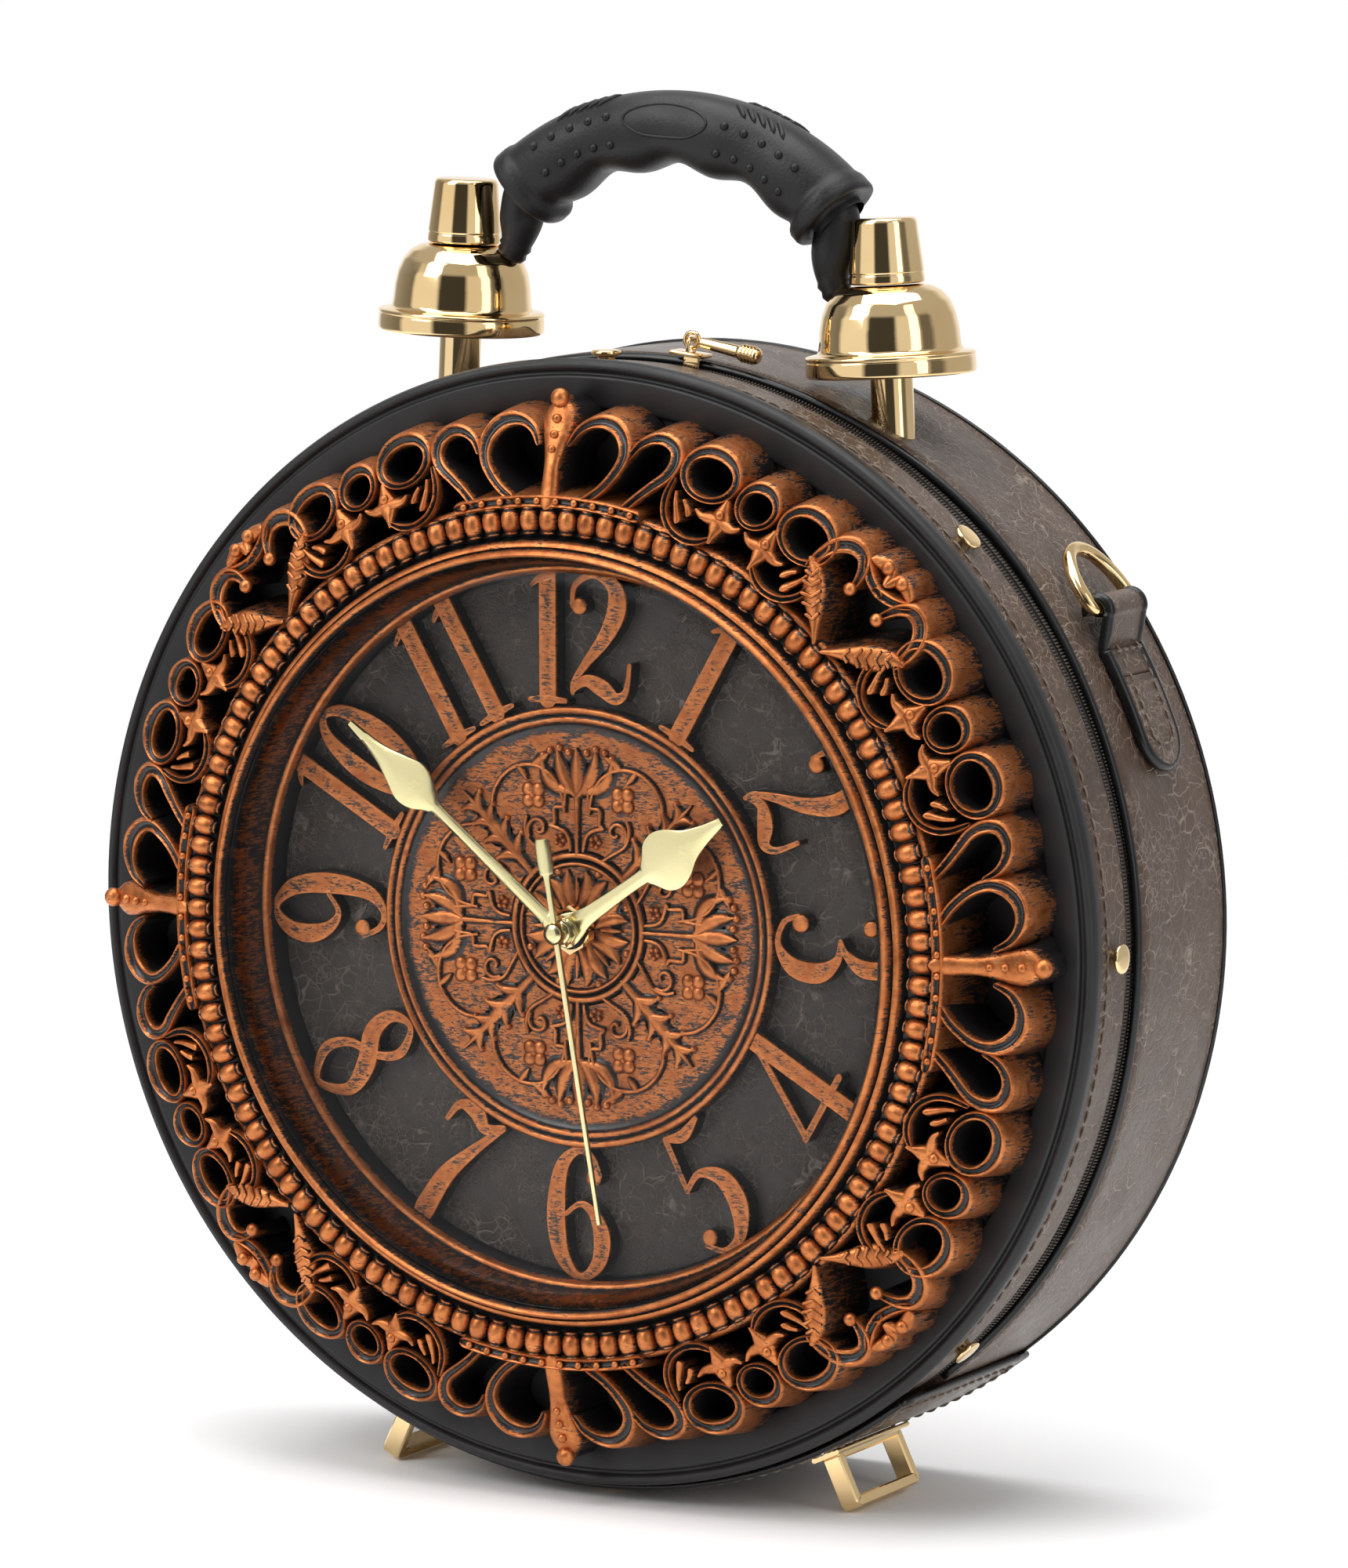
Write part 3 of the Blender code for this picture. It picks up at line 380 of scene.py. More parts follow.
def lathe(profile, segments=FINE, closed=False, start=0.0, sweep=360.0, frame_matrix=None, bm=None):
    """Surface turned round +Y, or round +Z of frame_matrix, from (radius, along) points."""
    bm = bm or bmesh.new()
    whole = sweep >= 360.0
    poles = {}
    rings = []
    for i in range(segments if whole else segments + 1):
        angle = math.radians(start + sweep * i / segments)
        ring = []
        for index, (radius, along) in enumerate(profile):
            if frame_matrix is None:
                spot = Vector((radius * math.sin(angle), along, radius * math.cos(angle)))
            else:
                spot = frame_matrix @ Vector((radius * math.cos(angle), radius * math.sin(angle), along))
            if radius == 0.0:
                if index not in poles:
                    poles[index] = bm.verts.new(spot)
                ring.append(poles[index])
            else:
                ring.append(bm.verts.new(spot))
        rings.append(ring)
    join_rings(bm, rings, loop=closed, wrap=whole, caps=closed and not whole)
    return bm


def rounded(corners, radius, steps=3):
    """A profile with its inner corners rounded by short arcs."""
    points = [corners[0]]
    for before, here, after in zip(corners, corners[1:], corners[2:]):
        arc = corner_arc(Vector(before), Vector(here), Vector(after), radius, steps)
        points += [tuple(spot) for spot in arc]
    points.append(corners[-1])
    return points


def corner_arc(before, here, after, radius, steps):
    """Points of the short curve that rounds a corner off."""
    a = before - here
    b = after - here
    cut = min(radius, 0.45 * a.length, 0.45 * b.length)
    start = here + cut * a.normalized()
    end = here + cut * b.normalized()
    shares = [i / steps for i in range(steps + 1)]
    return [(1 - t) ** 2 * start + 2 * t * (1 - t) * here + t * t * end for t in shares]


def neighbours(path, i, closed=False):
    """The points before and after point i; the end of an open path stands in for a missing one."""
    if closed:
        return path[i - 1], path[(i + 1) % len(path)]
    return path[max(i - 1, 0)], path[min(i + 1, len(path) - 1)]


def circle(radius, along, count, place):
    """Points round the local Z axis of a matrix."""
    turns = [math.tau * k / count for k in range(count)]
    return [place @ Vector((radius * math.cos(a), radius * math.sin(a), along)) for a in turns]


def tube(bm, path, radius, sides=10, closed=False):
    """Round bar along 3-D points; radius is one number or a function of the share of the length."""
    across = None
    rings = []
    for i, point in enumerate(path):
        before, after = neighbours(path, i, closed)
        run = (Vector(after) - Vector(before)).normalized()
        if across is None:
            across = run.orthogonal().normalized()
        across = (across - across.dot(run) * run).normalized()
        other = run.cross(across)
        size = radius(i / (len(path) - 1)) if callable(radius) else radius
        ring = []
        for k in range(sides):
            turn = math.tau * k / sides
            offset = size * (math.cos(turn) * across + math.sin(turn) * other)
            ring.append(bm.verts.new(Vector(point) + offset))
        rings.append(ring)
    join_rings(bm, rings, wrap=closed, caps=not closed)


def ball(bm, centre, size, rows=7, sides=12, layer=None, worn=1.0):
    """Ellipsoid; size is a radius or three half lengths."""
    sizes = Vector((size, size, size)) if isinstance(size, (int, float)) else Vector(size)
    centre = Vector(centre)
    top = bm.verts.new(centre + Vector((0, 0, sizes.z)))
    bottom = bm.verts.new(centre - Vector((0, 0, sizes.z)))
    rings = []
    for i in range(1, rows):
        tilt = math.pi * i / rows
        ring = []
        for k in range(sides):
            turn = math.tau * k / sides
            out = Vector((math.sin(tilt) * math.cos(turn), math.sin(tilt) * math.sin(turn), math.cos(tilt)))
            ring.append(bm.verts.new(centre + sizes * out))
        rings.append(ring)
    join_rings(bm, rings)
    for k in range(sides):
        bm.faces.new((top, rings[0][(k + 1) % sides], rings[0][k]))
        bm.faces.new((bottom, rings[-1][k], rings[-1][(k + 1) % sides]))
    if layer is not None:
        for vert in [top, bottom] + [v for ring in rings for v in ring]:
            vert[layer] = worn


def stitches(bm, spots, directions, normals, length, thick=0.32):
    """Short rounded threads lying on a surface."""
    for spot, direction, normal in zip(spots, directions, normals):
        path = []
        for i in range(7):
            t = i / 6
            lift = 0.24 * math.sin(math.pi * t) - 0.10
            path.append(spot + (t - 0.5) * length * direction + lift * normal)
        tube(bm, path, lambda t: thick * (0.55 + 0.45 * math.sin(math.pi * t)), 6)


def ring_stitches(bm, radius, y, start, end, pitch=3.4, length=2.6):
    """A row of stitches along a circle round the drum."""
    count = int(math.radians(end - start) * radius / pitch)
    clocks = [start + (end - start) * (i + 0.5) / count for i in range(count)]
    stitches(bm, [polar(radius, c, y) for c in clocks], [polar(1.0, c + 90.0) for c in clocks],
             [polar(1.0, c) for c in clocks], length)


# ---- drum: rim, leather, piping and zip -----------------------------------------------------
BAND_R = 118.8
SHELL_R = 120.0
MOUTH_Y = 22.5
ZIP_END = 146.0
SIDES = {1: "right", -1: "left"}
BELL_Y = 33.5
HANDLE_X = 3.0
BELL_FOOT = {1: Vector((HANDLE_X + 53.0, BELL_Y, 104.0)), -1: Vector((HANDLE_X - 53.0, BELL_Y, 110.2))}
BELL_LEAN = math.radians(3.0)
STITCH_LIFT = 0.12
RIVET_Y = 10.0
FOOT_TILT = 25.0
BACKWARD = Vector((0.0, 1.0, 0.0))


def mouth_y(clock):
    """Front edge of the shell, which bows backwards between the places that hold it."""
    turn = (clock + 180.0) % 360.0 - 180.0
    away = abs(turn)
    bow = 3.4 * math.exp(-((away - 44.0) / 15.0) ** 2) + 2.4 * math.exp(-((away - 128.0) / 20.0) ** 2)
    return MOUTH_Y - 0.7 + bow + 0.25 * math.sin(math.radians(turn * 7.0))


def make_rim(m):
    """Black moulded plate with its raised edge."""
    profile = [(4.2, 1.2), (109.5, 1.2), (109.7, 0.1), (110.3, -0.2), (116.1, -1.5), (116.5, -1.2),
               (116.7, -0.4), (117.3, -0.4), (117.6, -1.0), (118.3, -1.6), (119.4, -1.3), (120.0, 0.2),
               (119.9, 2.4), (118.4, 4.1), (115.0, 4.1), (112.0, 2.2), (4.2, 2.2)]
    rim = lathe(rounded(profile, 0.5), closed=True)
    put("rim_moulding", rim, m["black"], "door", "door_rim", 50)


def make_band(m):
    """Leather band round the door, with its stitching."""
    profile = [(115.8, 5.2), (115.9, 4.5), (117.6, 4.4), (118.6, 4.9), (BAND_R, 6.2), (BAND_R, 15.5),
               (118.5, 16.9), (117.4, 17.3), (115.9, 17.2), (115.8, 16.4)]
    band = lathe(rounded(profile, 0.7), closed=True)
    put("door_leather", band, m["leather"], "door", "door_band")
    bm = bmesh.new()
    ring_stitches(bm, BAND_R + STITCH_LIFT, 6.8, 0.0, 360.0)
    put("door_stitches", bm, m["stitch"], "door")


def shell_relief(spot):
    """How far the shell's leather stands off its circle: soft ripples, and a dip round each post."""
    relief = 0.16 * noise.noise(Vector((spot.x, spot.z, 2.0 * spot.y)) * 0.035)
    if spot.z > 0:
        for base in BELL_FOOT.values():
            away = math.hypot(spot.x - base.x, spot.y - base.y)
            relief -= 1.1 * math.exp(-(away / 7.5) ** 2)
    return relief


def make_shell(m):
    """Leather drum and back, their stitching, and the painted piping."""
    bm = bmesh.new()
    rings = []
    rows = 14
    for i in range(FINE):
        clock = 360.0 * i / FINE
        front = mouth_y(clock)
        start, end = front + 1.1, 60.4
        profile = [(117.2, front + 2.5), (117.3, front + 0.6), (118.2, front), (119.3, front + 0.2)]
        profile += [(SHELL_R, start + (end - start) * k / rows) for k in range(rows + 1)]
        profile += [(119.7, 61.0), (118.8, 61.2), (117.2, 61.2)]
        ring = []
        for radius, y in profile:
            spot = polar(radius, clock, y)
            if radius == SHELL_R:
                spot = polar(radius + shell_relief(spot), clock, y)
            ring.append(bm.verts.new(spot))
        rings.append(ring)
    join_rings(bm, rings, wrap=True)
    put("shell_leather", bm, m["leather"], "shell", "shell_wall")

    profile = [(0.0, 61.5), (119.0, 61.5), (119.9, 61.8), (119.6, 62.5), (118.4, 62.9), (112.0, 63.0),
               (60.0, 62.75), (0.0, 62.7)]
    put("back_leather", lathe(profile), m["leather"], "shell", "back_panel")
    bm = bmesh.new()
    count = 210
    clocks = [360.0 * i / count for i in range(count)]
    stitches(bm, [polar(115.6, c, 62.95) for c in clocks], [polar(1.0, c + 90.0) for c in clocks],
             [BACKWARD] * count, 2.2)
    put("shell_stitches", bm, m["stitch"], "shell")

    bm = bmesh.new()
    tube(bm, [polar(SHELL_R - 0.1, 2.0 * i, 61.35) for i in range(180)], 0.62, 8, closed=True)
    end = 142.0
    clocks = [-end + 2 * end * i / FINE for i in range(FINE + 1)]
    tube(bm, [polar(118.9, clock, mouth_y(clock) - 0.35) for clock in clocks], 1.05, 10)
    put("piping", bm, m["edge"], "shell", "mouth_piping")


def zip_half(m, name, body, low, high, teeth_y, cad, side):
    """Woven tape with a row of moulded coil loops along its free edge."""
    tape = [(116.5, low), (117.6, low), (117.6, high), (116.5, high)]
    put(name + "_tape", lathe(tape, 200, True, -ZIP_END, 2 * ZIP_END), m["tape"], body, cad)
    bm = bmesh.new()
    pitch = 0.78
    count = int(math.radians(2 * ZIP_END) * 118.0 / pitch)
    for i in range(count):
        clock = -ZIP_END + 2 * ZIP_END * (i + 0.5) / count
        out, along = polar(1.0, clock), polar(1.0, clock + 90.0)
        centre = polar(118.0, clock, teeth_y)
        rings = []
        for k in range(5):
            t = (k - 2) / 2
            spot = centre + 0.85 * t * side * BACKWARD + 0.30 * (1.0 - t * t) * out
            turns = [math.tau * j / 5 for j in range(5)]
            offsets = [0.23 * (math.cos(a) * along + math.sin(a) * out) for a in turns]
            rings.append([bm.verts.new(spot + offset) for offset in offsets])
        join_rings(bm, rings, caps=True)
    put(name + "_coil", bm, m["coil"], body)


def make_zip(m):
    zip_half(m, "zip_front", "door", 17.4, 19.3, 18.5, "zip_front_half", 1)
    zip_half(m, "zip_rear", "shell", 20.7, 22.6, 21.5, "zip_rear_half", -1)


def make_base(m):
    """Base panel with painted edges and its stitching."""
    inner, outer = 120.25, 121.6
    low, high = 3.5, 62.2
    start, end = 180.0 - 37.3, 180.0 + 37.3
    soft = 0.3
    profile = [(inner, low), (outer - soft, low), (outer, low + soft), (outer, high - soft),
               (outer - soft, high), (inner, high)]
    panel = lathe(profile, 90, True, start, end - start)
    put("base_leather", panel, m["leather"], "shell", "base_panel")
    bm = bmesh.new()
    middle = 0.5 * (inner + outer)
    for clock in (start, end):
        tube(bm, [polar(middle, clock, low + (high - low) * i / 12) for i in range(13)], 0.78, 8)
    for y in (low, high):
        tube(bm, [polar(middle, start + (end - start) * i / 60, y) for i in range(61)], 0.74, 8)
    put("base_edges", bm, m["edge"], "shell")
    bm = bmesh.new()
    for y in (low + 2.6, high - 2.6):
        ring_stitches(bm, outer + 0.1, y, start + 1.6, end - 1.6)
    count = 15
    first, last = low + 4.0, high - 4.0
    for clock in (start + 1.4, end - 1.4):
        rows = [first + (last - first) * i / (count - 1) for i in range(count)]
        spots = [polar(outer + 0.1, clock, y) for y in rows]
        stitches(bm, spots, [BACKWARD] * count, [polar(1.0, clock)] * count, 2.6)
    put("base_stitches", bm, m["stitch"], "shell")


def axis_matrix(clock, radius, y):
    """Local +Z outwards at a clock angle, local +Y backwards."""
    turn = Matrix.Rotation(math.radians(clock), 4, "Y")
    return Matrix.Translation(polar(radius, clock, y)) @ turn


def make_rivets(m):
    """Shouldered rivets round the door's band, and a flat one on the base panel."""
    stud = [(0.0, -1.0), (1.9, -1.0), (1.9, 1.0), (2.9, 1.15), (3.15, 1.45), (3.15, 1.95), (2.95, 2.25),
            (2.2, 2.4), (0.0, 2.46)]
    clocks = {"rivet_12": 0, "rivet_1_30": 45, "rivet_3": 90, "rivet_4_30": 135, "rivet_7_30": 225,
              "rivet_9": 270, "rivet_10_30": 315}
    for name, clock in clocks.items():
        place = axis_matrix(clock, BAND_R + 0.05, RIVET_Y)
        bm = lathe(rounded(stud, 0.25), 36, frame_matrix=place)
        put(name + "_cap", bm, m["gold"], "door", name)
    flat = [(0.0, -0.4), (3.0, -0.4), (3.1, 0.3), (2.8, 0.7), (0.0, 0.8)]
    bm = lathe(rounded(flat, 0.2), 36, frame_matrix=axis_matrix(180.0, 121.9, RIVET_Y))
    put("rivet_6_cap", bm, m["gold"], "shell", "rivet_6")


def flat_bar(bm, path, across, half_across, half_thick, closed=True):
    """Bar with softened corners along a flat path; across is the way out of the path's plane."""
    rings = []
    soft = 0.35
    for i, point in enumerate(path):
        before, after = neighbours(path, i, closed)
        other = (after - before).normalized().cross(across)
        ring = []
        for sx, sy in ((1, 1), (-1, 1), (-1, -1), (1, -1)):
            pair = [(half_across - soft, half_thick), (half_across, half_thick - soft)]
            if sx * sy > 0:
                pair.reverse()
            for a, b in pair:
                ring.append(bm.verts.new(point + sx * a * across + sy * b * other))
        rings.append(ring)
    join_rings(bm, rings, wrap=closed, caps=not closed)


def make_feet(m):
    """A flat plate and a square loop on each side; the clock stands on the loops."""
    front, back = 12.0, 41.0
    seat, end = 122.4, 135.0
    wall = 1.25
    for side, label in SIDES.items():
        clock = 180.0 - side * FOOT_TILT
        out, along = polar(1.0, clock), polar(1.0, clock + 90.0)
        corners = [(front + wall, seat + 0.5), (front + wall, end - wall), (back - wall, end - wall),
                   (back - wall, seat + 0.5)]
        bm = bmesh.new()
        loop = smooth_corners([y * BACKWARD + r * out for y, r in corners], 0.7)
        flat_bar(bm, loop, along, 2.15, wall)
        plate = [(10.2 + 32.6 * i / 8) * BACKWARD + (seat + 0.05) * out for i in range(9)]
        flat_bar(bm, plate, along, 3.5, 0.55, closed=False)
        put("foot_loop_" + label, bm, m["gold"], "shell", "foot_" + label, 40)


def smooth_corners(points, radius, steps=4):
    """Closed path with its corners rounded."""
    path = []
    for i, here in enumerate(points):
        before, after = neighbours(points, i, closed=True)
        path += corner_arc(before, here, after, radius, steps)
    return path


# ---- bells, posts, handle -------------------------------------------------------------------
def bell_matrix(side):
    """Local +Z up a bell's post, which leans a little inwards."""
    return Matrix.Translation(BELL_FOOT[side]) @ Matrix.Rotation(-side * BELL_LEAN, 4, "Y")


def make_bells(m):
    """Dome, tapered cap and post on each side."""
    dome = [(0.0, 31.1), (7.0, 31.1), (9.2, 30.7), (11.3, 29.6), (13.0, 27.6), (14.1, 25.0), (14.7, 22.0),
            (15.0, 18.6), (15.15, 17.6), (15.5, 17.1), (16.8, 16.9), (17.9, 16.6), (18.05, 16.1),
            (17.8, 15.7), (17.95, 15.3), (18.0, 14.0), (18.0, 12.7), (17.7, 12.15), (16.9, 12.1),
            (16.7, 12.6), (16.0, 14.6), (13.9, 16.6), (13.7, 21.6), (12.0, 26.6), (8.4, 29.3), (0.0, 29.9)]
    cap = [(0.0, 31.3), (7.6, 31.3), (8.0, 31.6), (7.9, 33.0), (7.75, 33.4), (7.9, 33.8), (6.85, 44.2),
           (6.5, 44.9), (5.6, 45.15), (0.0, 45.3)]
    post = [(0.0, -9.0), (4.5, -9.0), (4.5, 29.4), (0.0, 29.4)]
    for side, label in SIDES.items():
        pieces = (("bell_dome_", "bell_", rounded(dome, 0.5), 96, None),
                  ("bell_knob_", "bell_cap_", rounded(cap, 0.3), 72, None),
                  ("post_", "bell_post_", post, 48, 40))
        for name, node, profile, segments, facets in pieces:
            bm = lathe(profile, segments, frame_matrix=bell_matrix(side))
            put(name + label, bm, m["gold"], "shell", node + label, facets)


GRIP_R = 53.7
GRIP_CENTRE = Vector((HANDLE_X, BELL_Y, 112.9))
GRIP_HALF = 43.5
GRIP_TILT = 3.0
NECK = 2.4
CORE_R = 5.4


def grip_point(angle):
    """Point of the handle's arc at an angle from its top, and the way outwards."""
    turn = math.radians(angle + GRIP_TILT)
    out = Vector((math.sin(turn), 0.0, math.cos(turn)))
    return GRIP_CENTRE + GRIP_R * out, out


def core_path():
    """The core's middle line, from the left bell's shoulder over to the right one's.

    The second value is how many points lie between a bell and the sleeve.
    """
    middle = [grip_point(-GRIP_HALF + 2 * GRIP_HALF * i / 40)[0] for i in range(41)]
    ends = {}
    for side in SIDES:
        place = bell_matrix(side)
        foot = place @ Vector((-side * 11.6, 0.0, 29.2))
        up = place.to_3x3() @ Vector((-side * math.sin(0.56), 0.0, math.cos(0.56)))
        start = middle[-1] if side > 0 else middle[0]
        out = grip_point(side * GRIP_HALF)[1]
        along = Vector((side * out.z, 0.0, -side * out.x))
        ends[side] = interpolate_bezier(start, start + 3.6 * along, foot + 7.0 * up, foot, 25)[1:]
    return list(reversed(ends[-1])) + middle + ends[1], len(ends[1])


def make_core(m):
    """Rubber tube that swells from each bell's shoulder into the sleeve."""
    path, tail = core_path()
    bm = bmesh.new()
    rings = []
    for i, point in enumerate(path):
        before, after = neighbours(path, i)
        other = (after - before).normalized().cross(BACKWARD)
        step = min(i, len(path) - 1 - i) / tail
        swell = min(1.0, step / 0.5)
        radius = NECK + 0.5 + 1.9 * swell * swell * (3 - 2 * swell)
        if step < 0.22:
            radius += 0.4 * (math.sin(step / 0.22 * math.tau * 2.0) > 0.0)
        if step >= 1.0:
            radius = CORE_R - 0.3
        ring = []
        for k in range(24):
            turn = math.tau * k / 24
            ring.append(bm.verts.new(point + radius * (math.cos(turn) * BACKWARD + math.sin(turn) * other)))
        rings.append(ring)
    join_rings(bm, rings, caps=True)
    put("handle_tube", bm, m["rubber"], "shell", "handle_core")


def smoothstep(low, high, value):
    t = min(1.0, max(0.0, (value - low) / (high - low)))
    return t * t * (3 - 2 * t)


def grip_size(share):
    """Half sizes of the sleeve at a share (-1 to 1) of its half length: above, below and to each side."""
    away = abs(share)
    lip = smoothstep(0.90, 0.945, away)
    above = 8.3 + 0.5 * away ** 2 + 0.5 * lip
    hollow = 0.5 + 0.5 * math.cos(share * math.pi * 4.0)
    below = 8.9 - 1.9 * hollow * (1.0 - smoothstep(0.86, 0.95, away)) + 0.9 * lip
    side = 9.2 + 0.4 * away ** 3 + 0.5 * lip - 0.5 * hollow * (1.0 - lip)
    return above, below, side


def grip_surface(share, theta):
    """Point and outward normal on the sleeve; theta turns from the top towards the front."""
    centre, out = grip_point(share * GRIP_HALF)
    above, below, side = grip_size(share)
    c, s = math.cos(theta), math.sin(theta)
    tall = above if c > 0 else below
    square = 0.86
    height = tall * math.copysign(abs(c) ** square, c)
    wide = side * math.copysign(abs(s) ** square, s)
    normal = (c / tall * out - s / side * BACKWARD).normalized()
    return centre + height * out - wide * BACKWARD, normal


def make_grip(m):
    """Moulded sleeve with finger hollows, turned in at its ends."""
    bm = bmesh.new()
    rings = []
    stations, sides = 120, 48
    bore = CORE_R + 0.5
    for i in range(-6, stations + 7):
        share = -1.0 + 2.0 * min(max(i, 0), stations) / stations
        over = max(-i, i - stations, 0)
        centre, out = grip_point(share * GRIP_HALF)
        ring = []
        for k in range(sides):
            theta = math.tau * k / sides
            spot = grip_surface(share, theta)[0]
            if over:
                rim = centre + bore * (math.cos(theta) * out - math.sin(theta) * BACKWARD)
                t = min(1.0, over / 4.0)
                spot = spot.lerp(rim, t * t)
                push = 0.9 * math.sin(math.pi * t) - 2.5 * max(0, over - 4) / 2.0
                spot += math.copysign(push, share) * Vector((out.z, 0, -out.x))
            ring.append(bm.verts.new(spot))
        rings.append(ring)
    join_rings(bm, rings)
    add_grip_relief(bm)
    put("handle_sleeve", bm, m["rubber"], "shell", "handle_grip")


def add_grip_relief(bm):
    """Dots, thumb ribs and an oval on the grip's two faces."""
    for face in (1, -1):
        for half in (1, -1):
            for j in range(5):
                share = half * (0.33 + 0.108 * j)
                for theta in (1.15, 1.78):
                    spot, normal = grip_surface(share, face * theta)
                    ball(bm, spot - 0.05 * normal, 0.95, 6, 10)
            for j in range(5):
                share = half * (0.30 + 0.055 * j)
                path = []
                for k in range(6):
                    path.append(grip_surface(share + half * 0.02 * k, face * (0.22 + 0.10 * k))[0])
                tube(bm, path, lambda t: 0.62 * math.sqrt(max(0.05, 1 - (2 * t - 1) ** 4)), 8)
        ring = []
        for k in range(48):
            turn = math.tau * k / 48
            ring.append(grip_surface(0.235 * math.cos(turn), face * (1.28 + 0.42 * math.sin(turn)))[0])
        tube(bm, ring, 0.32, 8, closed=True)


# ---- carrying rings and zip pull ------------------------------------------------------------
RING_CLOCK = 56.5
RING_Y = 41.0
RING_PIVOT = 124.5


def make_ring(m, side, label):
    """Carrying ring: a straight bar with round corners, closed by a bow."""
    half, corner, length = 9.75, 3.0, 15.0
    outline = []
    for i in range(9):
        turn = 0.5 * math.pi * i / 8
        outline.append((half - corner + corner * math.sin(turn), corner - corner * math.cos(turn)))
    for i in range(1, 24):
        turn = math.pi * i / 24
        outline.append((half * math.cos(turn), corner + (length - corner) * math.sin(turn)))
    outline += [(-a, b) for a, b in outline[8::-1]]
    place = axis_matrix(side * (RING_CLOCK - 94.0), 0.0, 0.0)
    place.translation = polar(RING_PIVOT, side * RING_CLOCK, RING_Y)
    bm = bmesh.new()
    tube(bm, [place @ Vector((0.0, across, along)) for across, along in outline], 1.5, 20, closed=True)
    put("carry_loop_" + label, bm, m["gold"], "carry_ring_" + label, "ring_" + label)


TAB_R = 120.35
TAB_THICK = 2.2
TAB_HALF = 7.6
TAB_END = 72.6


def tab_line():
    """The strap's middle line from its free end, up the drum and round the ring's bar."""
    line = []
    for i in range(31):
        line.append(polar(TAB_R + 0.5 * TAB_THICK, TAB_END - (TAB_END - RING_CLOCK - 3.4) * i / 30))
    pivot = polar(RING_PIVOT, RING_CLOCK)
    for i in range(15):
        line.append(pivot + 2.6 * polar(1.0, RING_CLOCK + 60.0 - 232.0 * i / 14))
    return [Vector(row) for row in smooth_path([tuple(p) for p in line], 2)], pivot


def tab_body(bm, edge):
    """Strap with a rounded end and a crowned face, and the painted edge round it."""
    line, pivot = tab_line()
    length = 0.0
    rings = []
    outline = {1: [], -1: []}
    for i, point in enumerate(line):
        length += (point - line[max(i - 1, 0)]).length
        before, after = neighbours(line, i)
        run = (after - before).normalized()
        lift = Vector((-run.z, 0.0, run.x))
        if lift.dot(point - pivot if length > 20.0 else point) < 0:
            lift = -lift
        into = min(1.0, (length + 0.05) / TAB_HALF)
        width = TAB_HALF * math.sqrt(max(0.0, 1.0 - (1.0 - into) ** 2))
        depth = 0.5 * TAB_THICK * (1.0 if length < 18.0 else 0.62)
        face = []
        under = []
        for k in range(-6, 7):
            crown = 0.25 * (1 - (k / 6) ** 4)
            across = width * k / 6 * BACKWARD
            face.append(bm.verts.new(point + (depth + crown) * lift + across))
            under.append(bm.verts.new(point - depth * lift + across))
        rings.append(face + under[::-1])
        for hand in (1, -1):
            outline[hand].append(point + hand * width * BACKWARD)
    join_rings(bm, rings, caps=True)
    tube(edge, outline[-1][::-1] + outline[1], 1.3, 12)


def tab_stitches(bm):
    """Stitches down both sides, round the end and across the fold."""
    rows = []
    inner = TAB_HALF - 2.9
    surface = TAB_R + TAB_THICK
    for hand in (1, -1):
        for i in range(7):
            clock = TAB_END - 3.4 - 1.45 * i
            rows.append((clock, surface + 0.36, hand * inner, polar(1.0, clock + 90.0)))
    for i in range(5):
        turn = math.pi * (i + 0.5) / 5
        clock = TAB_END - 3.3 + math.degrees(inner * math.sin(turn) / TAB_R) * 0.55
        run = math.cos(turn) * polar(1.0, clock + 90.0) - math.sin(turn) * BACKWARD
        rows.append((clock, surface + 0.34, inner * math.cos(turn), run))
    for i in range(4):
        rows.append((RING_CLOCK + 4.2, surface + 0.5, (i - 1.5) * 3.2, BACKWARD))
    stitches(bm, [polar(radius, clock, y) for clock, radius, y, _ in rows], [row[3] for row in rows],
             [polar(1.0, row[0]) for row in rows], 2.1)


def make_tab(m, side, label):
    """Strap folded over the ring, drawn on the right and mirrored for the left."""
    body, edge, threads = bmesh.new(), bmesh.new(), bmesh.new()
    tab_body(body, edge)
    tab_stitches(threads)
    shift = Matrix.Translation((0.0, RING_Y, 0.0)) @ Matrix.Scale(side, 4, (1, 0, 0))
    for bm in (body, edge, threads):
        bm.transform(shift)
    put("strap_tab_" + label, body, m["leather"], "shell", "ring_tab_" + label)
    put("strap_edge_" + label, edge, m["edge"], "shell")
    put("strap_stitches_" + label, threads, m["stitch"], "shell")


SLIDER_CLOCK = 7.0
PIN_R = 124.0


def soft_box(bm, low, high, soft, place):
    """Box with bevelled edges."""
    made = bmesh.ops.create_cube(bm, size=1.0)["verts"]
    low, high = Vector(low), Vector(high)
    for vert in made:
        vert.co = Vector([l + (h - l) * (c + 0.5) for l, h, c in zip(low, high, vert.co)])
    edges = {e for v in made for e in v.link_edges}
    bevelled = bmesh.ops.bevel(bm, geom=list(edges), offset=soft, segments=2, affect="EDGES", profile=0.5)
    for vert in {v for f in bevelled["faces"] for v in f.verts} | {v for v in made if v.is_valid}:
        vert.co = place @ vert.co


